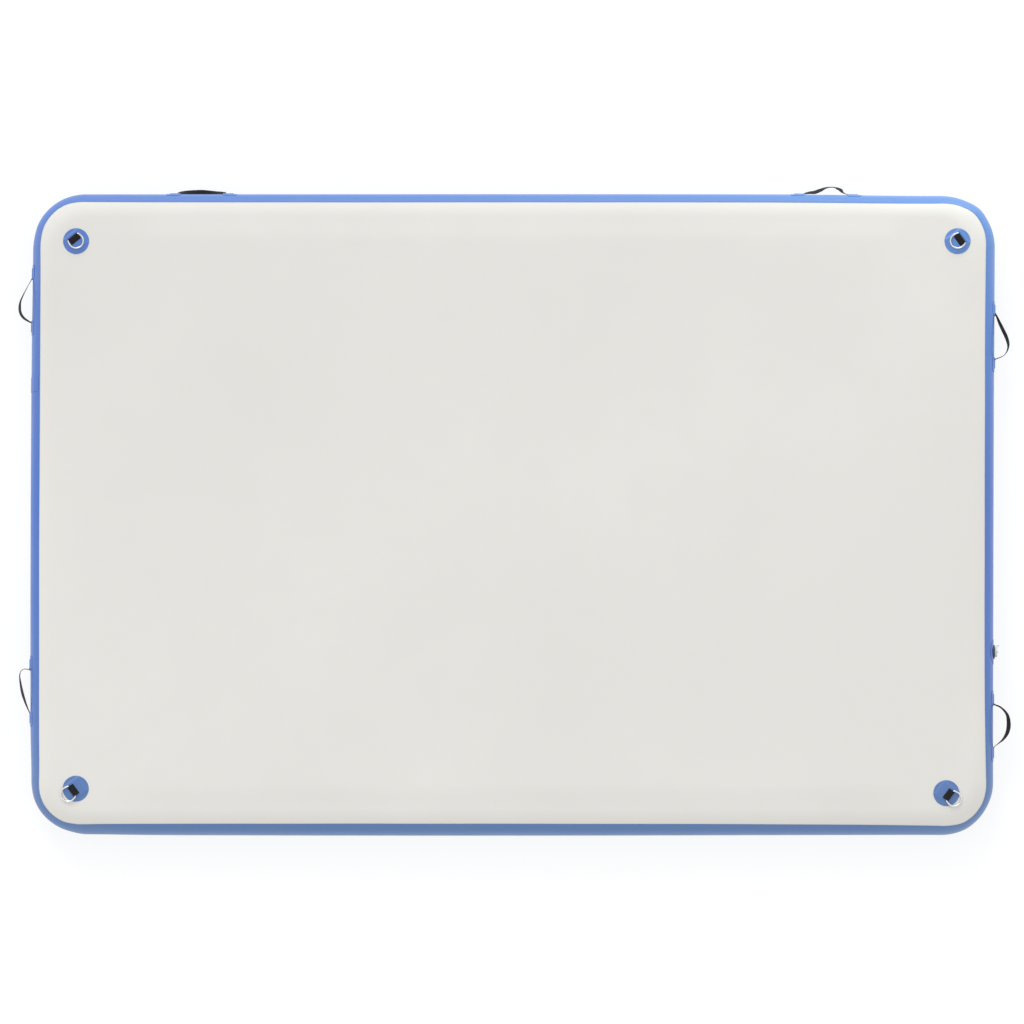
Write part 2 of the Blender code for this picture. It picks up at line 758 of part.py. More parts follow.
def make_tether(paints):
    """A pale strap beside the cap, from the flange's rim to a small knob, clear of the cap's path."""
    place = valve_place()
    sheet = TETHER_SHEET
    inner = CAP_RADIUS + TETHER_CLEARANCE
    outer = inner + TETHER_BAND
    low = FLANGE_TOP + GAP
    high = CAP_TOP + TETHER_RISE
    run = [(inner, low), (outer, low), (outer, high), (inner, high)]
    run += [(inner, high - sheet), (outer - sheet, high - sheet)]
    run += [(outer - sheet, low + sheet), (inner, low + sheet)]
    turned = place @ Matrix.Rotation(pi / 2, 4, "Z")
    strap = add_object("cap_tether", extrusion(run, TETHER_WIDTH), paints["cap"], turned)
    knob = lathe(
        [
            (0, 0),
            (KNOB_RADIUS, 0),
            (KNOB_RADIUS, KNOB_TOP - KNOB_ROUND),
            (KNOB_RADIUS - KNOB_ROUND, KNOB_TOP),
            (0, KNOB_TOP),
        ],
        steps=16,
    )
    at = Matrix.Translation((0, outer + sheet / 2, high - sheet / 2))
    apply_boolean(strap, cutter("tether_knob", knob, place @ at), "UNION")


def main():
    clear_scene()
    paints = {
        "deck": paint("deck_pvc", DECK_GREY, 0.50),
        "band": paint("band_pvc", BAND_BLUE, 0.38),
        "cloth": paint("polyester_cloth", (0.75, 0.75, 0.72), 0.90),
        "wall": paint("wall_pvc", (0.62, 0.63, 0.64), 0.55),
        "tape": paint("tape_pvc", (0.55, 0.56, 0.58), 0.60),
        "webbing": paint("black_webbing", (0.02, 0.02, 0.022), 0.85),
        "steel": paint("stainless_steel", (0.78, 0.79, 0.80), 0.18, 1.0),
        "valve": paint("valve_nylon", (0.07, 0.08, 0.09), 0.45),
        "valve_pale": paint("stem_nylon", (0.70, 0.70, 0.68), 0.45),
        "rubber": paint("seal_rubber", (0.03, 0.03, 0.03), 0.75),
        "cap": paint("cap_plastic", (0.82, 0.84, 0.83), 0.35),
    }
    make_body(paints)
    for name in RING_FITTINGS:
        make_ring_fitting(name, paints)
    for name in HANDLES:
        make_handle(name, paints)
    make_valve_patch(paints)
    make_valve_body(paints)
    make_valve_inside(paints)
    make_cap(paints)
    make_tether(paints)


main()
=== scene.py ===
"""The visual model of an inflated drop-stitch air mat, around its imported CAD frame.

The mat lies flat on a pale floor with its deck up. Every soft piece is a closed sheet of its own
thickness. Its UV map "cloth" holds metres along and across the material, for the weave.
"""

import json
from bisect import bisect_right
from math import acos, asin, atan2, cos, degrees, exp, hypot, pi, radians, sin, sqrt

import bmesh
import bpy
from mathutils import Matrix, Vector, noise


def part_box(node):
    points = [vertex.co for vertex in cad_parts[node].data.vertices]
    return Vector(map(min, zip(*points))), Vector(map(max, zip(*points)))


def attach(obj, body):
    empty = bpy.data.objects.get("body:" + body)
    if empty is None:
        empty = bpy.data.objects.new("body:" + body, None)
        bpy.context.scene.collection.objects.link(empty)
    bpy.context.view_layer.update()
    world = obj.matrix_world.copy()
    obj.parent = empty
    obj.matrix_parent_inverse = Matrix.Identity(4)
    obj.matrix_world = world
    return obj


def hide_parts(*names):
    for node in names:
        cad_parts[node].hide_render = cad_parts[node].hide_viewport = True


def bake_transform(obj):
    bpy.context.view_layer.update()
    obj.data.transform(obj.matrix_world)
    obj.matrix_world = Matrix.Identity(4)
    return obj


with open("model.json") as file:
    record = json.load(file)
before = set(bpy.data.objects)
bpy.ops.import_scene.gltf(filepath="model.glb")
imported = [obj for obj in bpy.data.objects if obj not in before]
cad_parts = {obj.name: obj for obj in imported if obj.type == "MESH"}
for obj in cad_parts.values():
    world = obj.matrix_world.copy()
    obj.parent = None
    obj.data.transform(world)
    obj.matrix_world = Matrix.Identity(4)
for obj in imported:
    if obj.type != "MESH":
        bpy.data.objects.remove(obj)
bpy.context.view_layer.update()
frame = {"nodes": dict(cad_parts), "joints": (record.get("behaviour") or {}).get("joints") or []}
joints = {joint["name"]: joint for joint in frame["joints"]}
X, Y, Z = Matrix.Identity(3)

# Mat, in metres
LENGTH = 3.0
WIDTH = 2.0
THICKNESS = 0.150
MIDDLE = THICKNESS / 2
OUTLINE_CORNER = 0.172
SHEET = 0.0009
GAP = 0.0003
SKIN_RADIUS = MIDDLE
BAND_RADIUS = 0.0762
HALF_X = LENGTH / 2 - BAND_RADIUS
HALF_Y = WIDTH / 2 - BAND_RADIUS
PATH_CORNER = OUTLINE_CORNER - BAND_RADIUS
DECK_SINK = 0.0004
SKIN_EDGE = 30
BEND_STEP = 4
BAND_LOWER_EDGE = -49.0
BAND_WANDER = 0.5

# Stations round the outline, anticlockwise from the right wall's front end: every straight wall
# and every corner is one unit long. Each row is (station, outward shift of the wall, width of the
# band as the camera sees it), the last two in millimetres and read off the photograph.
CORE_X = LENGTH / 2 - OUTLINE_CORNER
CORE_Y = WIDTH / 2 - OUTLINE_CORNER
OUTLINE = (
    (0.00, -1.0, 22.0), (0.17, -0.5, 26.5), (0.70, 3.0, 27.5), (0.85, 5.0, 28.5),
    (1.33, 10.0, 21.5), (1.50, 11.5, 21.5), (1.67, 4.5, 20.5), (2.00, -3.0, 23.5),
    (2.20, 2.0, 24.0), (3.00, 2.0, 23.0), (3.33, 2.0, 18.0), (3.67, -1.0, 19.0),
    (3.83, -5.0, 20.0), (4.00, -5.5, 23.0), (4.20, -1.5, 27.0), (4.50, 1.0, 27.0),
    (4.90, 0.5, 26.5), (5.00, -2.5, 24.5), (5.33, 0.5, 21.0), (5.67, -1.5, 21.0),
    (5.83, -3.0, 25.5), (6.00, -1.0, 31.5), (6.10, 2.0, 35.5), (6.50, 3.5, 37.0),
    (6.90, 1.5, 32.5), (7.00, 1.5, 28.5), (7.17, 3.5, 26.0), (7.33, 5.0, 20.5), (7.67, 2.0, 17.5),
    (7.83, 1.0, 20.5), (8.00, -1.0, 22.0),
)
STATIONS = [row[0] for row in OUTLINE]
# The wall moves out from here on, measured from the corner arcs' centres
SHIFT_START = 0.100
SHIFT_SPAN = 0.058
# How far the straight walls pull the skins in. It grows outwards over DRAW_SPAN, away from a corner
# over DRAW_FADE, and with the distance from the mat's middle height over DRAW_RISE.
DRAW_IN = 0.0070
DRAW_START = 0.022
DRAW_SPAN = 0.090
DRAW_CORNER_GAP = 0.03
DRAW_FADE = 0.22
DRAW_LEVEL = 0.032
DRAW_RISE = 0.036
PUCKER_HEIGHT = 0.00075
PUCKER_PITCH = 0.021
SPLICE_HALF_WIDTH = 0.0225
SPLICE_HALF_ANGLE = 46.0
SPLICE_CORNER = 0.006

# D-ring fittings: heights above the deck. The disc rises over the webbing's feet to CROWN; the
# dome's foot is DOME_FOOT times as far out as (DOME_X, DOME_Y).
CROWN = 0.0043
DOME_X = 0.0245
DOME_Y = 0.0236
DOME_FOOT = 1.32
DOME_SLOPE = 0.34
SLIT = (0.0040, 0.0368, 0.02)
SLIT_CORNER = 0.0019
WELD_RADIUS = 0.0372
WEBBING = 0.0014
TAB_WIDTH = 0.0350
STITCHES = 12
STITCH_MARGIN = 0.0030
STITCH_COLUMNS = (0.0052, 0.0079)
WIRE = 0.0025
BAR_X = 0.0152
BAR_Z = CROWN + GAP + WEBBING + GAP + WIRE
RING_BOW = 0.0225
RING_BACK = 0.0145
RING_BAR_HALF = 0.0205
RING_CORNER = 0.0029
RING_CLEARANCE = 0.0006
DISC_RADIUS = 0.040
RINGS = ("ring_back_left", "ring_back_right", "ring_front_left", "ring_front_right")
RINGS_FOLDED_IN = ("ring_back_left", "ring_back_right")

# Handle straps. Each has the direction, as (out, up), in which it leaves its hinge line, and then
# rows of (along, out, up, twist): a point of the centre line in the hinge's frame, in millimetres,
# and the twist about it in degrees. Its ends run on flat under the anchors, STRAP_END from the
# middle.
STRAP_WIDTH = 0.025
STRAP_THICK = 0.0017
HINGE_OFFSET = 0.0112
FLAT = -10.05
STRAP_END = 98
STRAPS = {
    "handle_left_back": (
        (1.0, 0.0),
        (
            (-78, FLAT, 0, 0), (-70, -7.4, 0, 2), (-55.5, 14.4, -1, 11), (-38.9, 25.6, -2, 16),
            (-20.1, 28.2, -3, 17), (-3.5, 26.2, -3, 12), (15.4, 18.6, -2, 8), (40.5, 6.1, -1, 4),
            (66, -7.2, 0, 2), (78, FLAT, 0, 0),
        ),
    ),
    "handle_left_front": (
        (1.0, 0.0),
        (
            (-76, FLAT, 0, 0), (-65.8, -7.6, 0, 2), (-50.2, -1.6, 0, 6), (-29.4, 6.3, -1, 12),
            (-2.1, 14.4, -2, 16), (29.2, 20.2, -2, 10), (50.5, 22.0, -1, 5), (64.0, 17.5, -1, 4),
            (70.0, 6.5, 0, 3), (69.0, -6.5, 0, 2), (80, FLAT, 0, 0),
        ),
    ),
    "handle_right_back": (
        (1.0, 0.0),
        (
            (80, FLAT, 0, 0), (70.5, -6.9, 0, -4), (43.4, 5.0, -1, -16), (22.4, 15.2, -2, -20),
            (0.1, 25.8, -3, -20), (-18.4, 31.8, -3, -16), (-32.2, 32.4, -3, -10),
            (-47.6, 27.6, -2, -5), (-58.3, 18.6, -1, -3), (-64.6, 7.6, 0, -2),
            (-70.4, -6.4, 0, -1), (-82, FLAT, 0, 0),
        ),
    ),
    "handle_right_front": (
        (1.0, 0.0),
        (
            (80, FLAT, 0, 0), (68.4, -6.6, 0, -2), (61.4, 9.0, -1, -4), (50.1, 22.8, -2, -8),
            (35.3, 33.0, -3, -16), (14.9, 37.2, -4, -26), (-5.8, 36.6, -4, -28),
            (-24.3, 31.2, -3, -24), (-41.6, 19.6, -2, -14), (-53.2, 6.2, -1, -6),
            (-64.0, -6.6, 0, -2), (-78, FLAT, 0, 0),
        ),
    ),
    "handle_back_left": (
        (0.5, -0.87),
        (
            (-80, FLAT, 0, 4), (-70, -7.6, -1, 18), (-58, -6.2, -9, 30), (-42, -5.6, -20, 46),
            (-22, -5.0, -30, 58), (0, -4.6, -34, 62), (22, -5.8, -31, 56), (42, -6.8, -22, 42),
            (58, -6.8, -11, 28), (70, -7.6, -1, 18), (80, FLAT, 0, 4),
        ),
    ),
    "handle_back_right": (
        (0.6, -0.8),
        (
            (-78, FLAT, 0, 2), (-66, -7.6, -2, 10), (-50, -4.4, -10, 22), (-34, -1.6, -17, 28),
            (-17, 5.6, -22, 26), (-2, 12.6, -25, 14), (16, 15.6, -25, 8), (33, 13.6, -22, 12),
            (43.0, 7.6, -15, 30), (51.0, -1.6, -8, 14), (64, -7.6, -2, 4), (78, FLAT, 0, 0),
        ),
    ),
}
ANCHOR_HALF_LENGTH = 0.022
ANCHOR_HALF_HEIGHT = 0.030
ANCHOR_CORNER = 0.009
ANCHOR_WELD = 0.003
TAIL_LENGTH = 0.032
HUMP_EDGE = 0.0035
# A strap lies cupped round the bulge until it stands this far off the wall
WALL_CUP = 1 / (2 * BAND_RADIUS)
CUP_END = 0.002
CUP_FADE = 0.006

# Valve: heights from the band's outer face
FLANGE_RADIUS = 0.0220
FLANGE_TOP = 0.0045
NECK_OUTER = 0.0145
NECK_INNER = 0.0118
NECK_DEPTH = 0.030
NECK_SPLIT = 0.012
NECK_FLOOR = 0.027
FLANGE_FOOT = 0.0013
FLANGE_SINK = 0.0016
COLLAR_OUTER = 0.0142
COLLAR_INNER = 0.0122
COLLAR_TOP = 0.0075
CAP_RADIUS = 0.0162
CAP_TOP = 0.0125
CAP_ROOF = 0.0105
# Where a turned solid begins beside its axis, and its eased edges
AXIS = 0.0002
EASE = 0.0003
CAP_RIBS = 36
TETHER_WIDTH = 0.0058
TETHER_THICK = 0.0011
VALVE_PATCH_RADIUS = 0.039
VALVE_WELD_RADIUS = 0.0358
WALL_HOLE = 0.0151

VALVE = Vector(joints["cap_turn"]["pos_m"])

# Camera and light
VIEW_WIDTH = 3.193
CAMERA_DISTANCE = 80.0
CAMERA_TILT = 4.5
PICTURE_RISE = 0.0078
SENSOR = 36.0
WORLD_LIGHT = 0.858
PAPER_GREY = 0.25
PAPER_GLOW = 0.79
PAPER_SIZE = 40
PAPER_DROP = 0.0005


# Camera, floor and light


def put(name, data):
    """A new object in the scene."""
    item = bpy.data.objects.new(name, data)
    bpy.context.scene.collection.objects.link(item)
    return item


def fill(node, **values):
    """Sets a node's inputs by name; an underscore stands for a space."""
    for key, value in values.items():
        node.inputs[key.replace("_", " ")].default_value = value


def make_camera():
    data = bpy.data.cameras.new("camera")
    data.sensor_width = SENSOR
    data.lens = SENSOR * CAMERA_DISTANCE / VIEW_WIDTH
    data.clip_start = 1.0
    data.clip_end = 4 * CAMERA_DISTANCE
    camera = put("camera", data)
    tilt = radians(CAMERA_TILT)
    target = Vector((0, PICTURE_RISE, MIDDLE))
    camera.location = target + CAMERA_DISTANCE * Vector((0, -sin(tilt), cos(tilt)))
    camera.rotation_euler = (tilt, 0, 0)
    bpy.context.scene.camera = camera


def add_light(name, kind, place, aim, energy, colour, size):
    data = bpy.data.lights.new(name, kind)
    data.energy = energy
    data.color = colour
    if kind == "SUN":
        data.angle = size
    else:
        data.size = size
    light = put(name, data)
    light.location = place
    light.visible_camera = False
    light.rotation_euler = (Vector(aim) - Vector(place)).to_track_quat("-Z", "Y").to_euler()


def make_stage():
    """Soft studio light on a pale paper floor."""
    scene = bpy.context.scene
    scene.view_settings.view_transform = "Standard"
    world = bpy.data.worlds.new("studio")
    world.use_nodes = True
    scene.world = world
    background = world.node_tree.nodes["Background"]
    fill(background, Color=(0.985, 0.99, 1.0, 1.0), Strength=WORLD_LIGHT)
    add_light("key", "SUN", (-1.3, 4.0, 2.5), (0, 0, 0), 0.90, (0.95, 0.98, 1.0), radians(30))
    add_light("rim", "SUN", (0.6, 4.0, 0.35), (0, 0, 0), 0.24, (0.94, 0.99, 1.0), radians(24))
    glow_at = (2.1, 2.6, 0.45)
    add_light("corner_glow", "AREA", glow_at, (1.45, 0.95, 0.1), 9, (0.90, 0.98, 1.0), 0.8)
    bm = bmesh.new()
    bmesh.ops.create_grid(bm, x_segments=1, y_segments=1, size=PAPER_SIZE)
    mesh = bpy.data.meshes.new("floor")
    bm.to_mesh(mesh)
    bm.free()
    floor = put("floor", mesh)
    floor.location = (0, 0, -PAPER_DROP)
    material = bpy.data.materials.new("floor_paper")
    material.use_nodes = True
    shader = material.node_tree.nodes["Principled BSDF"]
    fill(shader, Base_Color=(PAPER_GREY, PAPER_GREY, PAPER_GREY, 1), Roughness=0.9)
    fill(shader, Specular_IOR_Level=0.0, Emission_Color=(1, 1, 1, 1), Emission_Strength=PAPER_GLOW)
    mesh.materials.append(material)


# Materials


def tinted(colour, share, plus=0.0):
    return tuple(min(1.0, share * c + plus) for c in colour)


class Nodes:
    """A short way to write a material's node tree."""

    def __init__(self, name, colour, roughness, metallic=0.0):
        self.material = bpy.data.materials.new(name)
        self.material.use_nodes = True
        self.tree = self.material.node_tree
        self.shader = self.tree.nodes["Principled BSDF"]
        fill(self.shader, Base_Color=(*colour, 1), Roughness=roughness, Metallic=metallic)
        self.height = None

    def add(self, kind, **settings):
        node = self.tree.nodes.new(kind)
        for key, value in settings.items():
            setattr(node, key, value)
        return node

    def link(self, source, target):
        self.tree.links.new(source, target)

    def feed(self, socket, value):
        if isinstance(value, bpy.types.NodeSocket):
            self.link(value, socket)
        else:
            socket.default_value = value

    def math(self, operation, first, second=0.0, third=0.0):
        node = self.add("ShaderNodeMath", operation=operation)
        for socket, value in zip(node.inputs, (first, second, third)):
            self.feed(socket, value)
        return node.outputs[0]

    def place(self):
        return self.add("ShaderNodeTexCoord").outputs["Object"]

    def split(self, vector):
        parts = self.add("ShaderNodeSeparateXYZ")
        self.link(vector, parts.inputs[0])
        return parts.outputs["X"], parts.outputs["Y"]

    def level(self):
        return self.split(self.place())

    def cloth(self):
        return self.split(self.add("ShaderNodeUVMap", uv_map="cloth").outputs["UV"])

    def stretched(self, scale):
        node = self.add("ShaderNodeMapping")
        fill(node, Scale=scale)
        self.link(self.place(), node.inputs["Vector"])
        return node.outputs["Vector"]

    def noise(self, scale, detail=3.0, roughness=0.55, vector=None):
        node = self.add("ShaderNodeTexNoise")
        self.link(vector or self.place(), node.inputs["Vector"])
        fill(node, Scale=scale, Detail=detail, Roughness=roughness)
        return node.outputs["Fac"]

    def span(self, value, low, high, out_low=0.0, out_high=1.0):
        node = self.add("ShaderNodeMapRange")
        self.link(value, node.inputs["Value"])
        fill(node, From_Min=low, From_Max=high, To_Min=out_low, To_Max=out_high)
        return node.outputs["Result"]

    def mix(self, factor, first, second):
        node = self.add("ShaderNodeMix", data_type="RGBA")
        self.feed(node.inputs[0], factor)
        for socket, value in ((node.inputs[6], first), (node.inputs[7], second)):
            if isinstance(value, tuple):
                socket.default_value = (*value, 1)
            else:
                self.link(value, socket)
        return node.outputs[2]

    def wave(self, along, pitch):
        return self.math("SINE", self.math("MULTIPLY", along, 2 * pi / pitch))

    def weave(self, first, first_pitch, second, second_pitch):
        return self.math("MULTIPLY", self.wave(first, first_pitch), self.wave(second, second_pitch))

    def colour(self, socket):
        self.link(socket, self.shader.inputs["Base Color"])

    def rough(self, socket):
        self.link(socket, self.shader.inputs["Roughness"])

    def bump(self, height, distance, strength=1.0):
        node = self.add("ShaderNodeBump")
        fill(node, Distance=distance, Strength=strength)
        self.link(height, node.inputs["Height"])
        if self.height is not None:
            self.link(self.height, node.inputs["Normal"])
        self.height = node.outputs["Normal"]
        self.link(self.height, self.shader.inputs["Normal"])


def pvc_cloth(name, colour, shade, rough, front_painted_shade=None, fading_and_painted_light=None, shine=0.5, dimples=False):
    """PVC-coated cloth: a mottled colour, a faint scrim weave, fine grain and scuffs.

    The colour given for the front wall is painted shade: the cloth greys and darkens towards that
    wall, which faces away from the light. The one given for the back wall is painted light: the
    cloth turns lighter and bluer towards it, most at its +X end, where the light falls.
    """
    n = Nodes(name, colour, rough)
    fill(n.shader, Specular_IOR_Level=shine)
    wide = n.noise(1.1, detail=4.0)
    cloudy = n.noise(9.0, detail=3.0)
    tone = n.mix(n.span(wide, 0.35, 0.65), colour, shade)
    tone = n.mix(n.span(cloudy, 0.45, 0.8, 0.0, 0.35), tone, shade)
    speck = n.noise(900.0, detail=1.0)
    tone = n.mix(n.span(speck, 0.55, 0.75, 0.0, 0.10), tone, tinted(colour, 0.55))
    rub = n.noise(1.0, detail=5.0, roughness=0.7, vector=n.stretched((3.0, 14.0, 9.0)))
    scuff = n.span(rub, 0.62, 0.72)
    pale = tinted(colour, 0.8, 0.16)
    tone = n.mix(n.math("MULTIPLY", scuff, 0.10), tone, pale)
    if front_painted_shade:
        x, y = n.level()
        # Painted shade: the band greys and darkens towards the front wall, which faces away from
        # the light.
        low = n.math("POWER", n.span(y, -0.05, -1.0), 1.8)
        tone = n.mix(n.math("MULTIPLY", low, n.span(cloudy, 0.2, 0.8, 0.8, 1.0)), tone, front_painted_shade)
        # Painted light: the band turns lighter and bluer towards the back wall, most at its +X end,
        # where the light falls.
        back = n.math("MULTIPLY", n.span(y, 0.1, 0.98), n.span(x, -1.6, 1.4, 0.22, 1.0))
        tone = n.mix(back, tone, fading_and_painted_light)
    n.colour(tone)
    gloss = n.span(n.noise(6.0, detail=4.0), 0.3, 0.7, rough - 0.05, rough + 0.07)
    n.rough(n.math("MULTIPLY_ADD", scuff, 0.10, gloss))
    u, v = n.cloth()
    n.bump(n.weave(u, 0.0011, v, 0.0011), 0.000015)
    n.bump(n.noise(1600.0, detail=2.0), 0.00005)
    if dimples:
        n.bump(n.weave(u, 0.0090, v, 0.0104), 0.00003)
        n.bump(n.noise(22.0, detail=2.0), 0.0010, 0.35)
    else:
        n.bump(n.noise(60.0, detail=3.0), 0.0004, 0.5)
    return n.material


def webbing_cloth(name, colour, rib):
    """Woven webbing: crosswise ribs in narrow columns that lean one way and then the other."""
    n = Nodes(name, colour, 0.78)
    fill(n.shader, Sheen_Weight=0.05, Sheen_Roughness=0.5, Specular_IOR_Level=0.25)
    u, v = n.cloth()
    column = n.math("PINGPONG", v, 0.0022)
    ribs = n.wave(n.math("MULTIPLY_ADD", column, 0.9, u), rib)
    cords = n.wave(v, 0.0044)
    weave = n.math("MULTIPLY_ADD", cords, 0.35, ribs)
    # Painted highlight on the ribs' tops and painted shade in the grooves: the colour follows the
    # weave's height.
    light = tinted(colour, 2.0, 0.003)
    tone = n.mix(n.span(weave, -0.9, 1.2), colour, light)
    fuzz = n.noise(1400.0, detail=2.0)
    tone = n.mix(n.span(fuzz, 0.6, 0.85, 0.0, 0.25), tone, (0.06, 0.06, 0.06))
    fading_and_painted_light = n.noise(12.0, detail=3.0)
    n.colour(n.mix(n.span(fading_and_painted_light, 0.5, 0.8, 0.0, 0.25), tone, (0.024, 0.024, 0.026)))
    n.rough(n.span(fading_and_painted_light, 0.3, 0.7, 0.70, 0.88))
    n.bump(weave, 0.00022)
    n.bump(fuzz, 0.00008)
    return n.material


def steel(name, colour, rough):
    """Drawn and polished wire: fine scratches, and a clouded polish."""
    n = Nodes(name, colour, rough, metallic=1.0)
    cloud = n.noise(140.0, detail=4.0)
    scratch = n.noise(1.0, detail=3.0, roughness=0.7, vector=n.stretched((2600, 700, 2600)))
    n.colour(n.mix(n.span(cloud, 0.35, 0.7), colour, tinted(colour, 0.88)))
    polish = n.span(cloud, 0.3, 0.7, rough - 0.06, rough + 0.08)
    n.rough(n.math("MULTIPLY_ADD", scratch, 0.12, polish))
    n.bump(scratch, 0.00002)
    return n.material


def moulding(name, colour, rough, grain=0.00006):
    """Moulded plastic or rubber: a fine spark-eroded grain, handling shine and faint flow marks."""
    n = Nodes(name, colour, rough)
    flow = n.noise(70.0, detail=3.0)
    n.colour(n.mix(n.span(flow, 0.35, 0.7), colour, tinted(colour, 0.82)))
    n.rough(n.span(n.noise(160.0, detail=3.0), 0.3, 0.7, rough - 0.08, rough + 0.08))
    n.bump(n.noise(2600.0, detail=2.0), grain)
    return n.material


def base_cloth(name, colour):
    """Uncoated polyester base cloth and yarns."""
    n = Nodes(name, colour, 0.9)
    x, y = n.level()
    weave = n.weave(x, 0.0016, y, 0.0016)
    # Painted shade in the weave's hollows: the colour darkens where the weave is low.
    n.colour(n.mix(n.span(weave, -1.0, 1.0), tinted(colour, 0.8), colour))
    n.bump(weave, 0.0002)
    return n.material


# Meshes


def piece(name, verts, faces, uvs, material, body, replaces=(), slot=None, sharp=None):
    """A mesh from points, faces and one UV per face corner, riding on a body."""
    mesh = bpy.data.meshes.new(name)
    mesh.from_pydata([tuple(v) for v in verts], [], faces)
    if uvs is not None:
        layer = mesh.uv_layers.new(name="cloth")
        layer.data.foreach_set("uv", [c for face in uvs for uv in face for c in uv])
    mesh.materials.append(material)
    bm = bmesh.new()
    bm.from_mesh(mesh)
    bmesh.ops.recalc_face_normals(bm, faces=bm.faces)
    bm.to_mesh(mesh)
    bm.free()
    mesh.shade_smooth()
    if sharp is not None:
        mesh.set_sharp_from_angle(angle=radians(sharp))
    item = put(name, mesh)
    for vertex in mesh.vertices:
        vertex.co = settle(vertex.co)
    if body is not None:
        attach(item, body)
    if replaces:
        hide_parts(*replaces)
    return item


def cloudy(x, y, scale, seed):
    """Smooth noise over a sheet, between -1 and 1."""
    return noise.noise(Vector((x * scale, y * scale, seed)))


def smooth_step(value):
    value = max(0.0, min(1.0, value))
    return value * value * (3 - 2 * value)


def sign(value):
    return 1 if value > 0 else -1


def outward(angle):
    """The level direction at an angle in degrees."""
    return Vector((cos(radians(angle)), sin(radians(angle)), 0))


def station_of(x, y):
    """Where a point lies: (station, outward direction, distance from the core)."""
    dx, dy = max(0.0, abs(x) - CORE_X), max(0.0, abs(y) - CORE_Y)
    reach = hypot(dx, dy)
    if reach == 0.0:
        return 0.0, Vector((0, 0, 0)), 0.0
    sx, sy = sign(x), sign(y)
    out = Vector((sx * dx, sy * dy, 0)) / reach
    if dx and dy:
        turn = (degrees(atan2(out.y, out.x)) % 360) / 90
        return 2 * int(turn) + 1 + turn % 1, out, reach
    if dx:
        share = (CORE_Y + sx * y) / (2 * CORE_Y)
        return (0 if sx > 0 else 4) + share, out, reach
    share = (CORE_X - sy * x) / (2 * CORE_X)
    return (2 if sy > 0 else 6) + share, out, reach


def read_outline(station, column):
    """A column of OUTLINE at a station, in metres, on a smooth curve through its rows."""
    spot = bisect_right(STATIONS, station) - 1
    i = max(0, min(spot, len(OUTLINE) - 2))
    count = len(OUTLINE) - 1
    rows = []
    for k in (i - 1, i, i + 1, i + 2):
        turn = 8 * (k // count)
        rows.append((OUTLINE[k % count][0] + turn, OUTLINE[k % count][column]))
    (u0, v0), (u1, v1), (u2, v2), (u3, v3) = rows
    span = u2 - u1
    t = (station - u1) / span
    s1, s2 = span * (v2 - v0) / (u2 - u0), span * (v3 - v1) / (u3 - u1)
    curve = v1 + s1 * t + (3 * (v2 - v1) - 2 * s1 - s2) * t * t
    return 0.001 * (curve + (2 * (v1 - v2) + s1 + s2) * t**3)


def settle(point):
    """Moves a point with the walls' uneven outline and with the skins drawn in along the walls."""
    x, y, z = point
    station, out, reach = station_of(x, y)
    if reach == 0.0:
        return Vector(point)
    shift = read_outline(station, 1) * smooth_step((reach - SHIFT_START) / SHIFT_SPAN)
    if abs(y) > abs(x) - (LENGTH - WIDTH) / 2:
        from_corner = CORE_X - DRAW_CORNER_GAP - abs(x)
    else:
        from_corner = CORE_Y - DRAW_CORNER_GAP - abs(y)
    drawn = smooth_step((reach - DRAW_START) / DRAW_SPAN) * smooth_step(from_corner / DRAW_FADE)
    drawn *= smooth_step((abs(z - MIDDLE) - DRAW_LEVEL) / DRAW_RISE)
    lower = DRAW_IN * drawn * sign(z - MIDDLE)
    return Vector((x + out.x * shift, y + out.y * shift, z - lower))


def strip_faces(rows, columns, close_rows=False, close_columns=False):
    """Quads between rows x columns of points, as index lists with their (row, column) corners."""
    faces, corners = [], []
    for i in range(rows if close_rows else rows - 1):
        for j in range(columns if close_columns else columns - 1):
            quad = [(i, j), (i + 1, j), (i + 1, j + 1), (i, j + 1)]
            faces.append([(r % rows) * columns + c % columns for r, c in quad])
            corners.append(quad)
    return faces, corners


def lengths(points, closed=False):
    """Distance along a line of points at each of them."""
    total = [0.0]
    ends = points[1:] + points[:1] if closed else points[1:]
    for a, b in zip(points, ends):
        total.append(total[-1] + (Vector(b) - Vector(a)).length)
    return total


def swept(name, rows, material, body, close_rows=False, caps=False, sharp=None, **kw):
    """A tube through rows of points; each row is one closed cross-section."""
    count = len(rows[0])
    faces, corners = strip_faces(len(rows), count, close_rows, True)
    along = lengths([row[0] for row in rows], close_rows)
    across = lengths(list(rows[len(rows) // 2]), True)
    uvs = [[(along[i], across[j]) for i, j in quad] for quad in corners]
    if caps:
        last = (len(rows) - 1) * count
        for face in (list(range(count)), [last + k for k in range(count)]):
            faces.append(face)
            uvs.append([(0.0, across[k % count]) for k in range(count)])
    verts = [p for row in rows for p in row]
    return piece(name, verts, faces, uvs, material, body, sharp=sharp, **kw)


def to_round(x, y, half_x, half_y, corner):
    """Maps a rectangle onto one with round corners, moving only points in its corner squares."""
    cx, cy = half_x - corner, half_y - corner
    dx, dy = abs(x) - cx, abs(y) - cy
    if dx <= 0 or dy <= 0:
        return x, y
    shrink = max(dx, dy) / hypot(dx, dy)
    return sign(x) * (cx + dx * shrink), sign(y) * (cy + dy * shrink)


def grid_lines(half, corner, corner_steps, pitch):
    """Coordinates from -half to half, closer together in the corners."""
    flat = half - corner
    steps = max(2, round(2 * flat / pitch))
    inner = [-flat + 2 * flat * i / steps for i in range(steps + 1)] if flat > 0 else [0.0]
    edge = [flat + corner * i / corner_steps for i in range(1, corner_steps + 1)]
    return [-e for e in reversed(edge)] + inner + edge


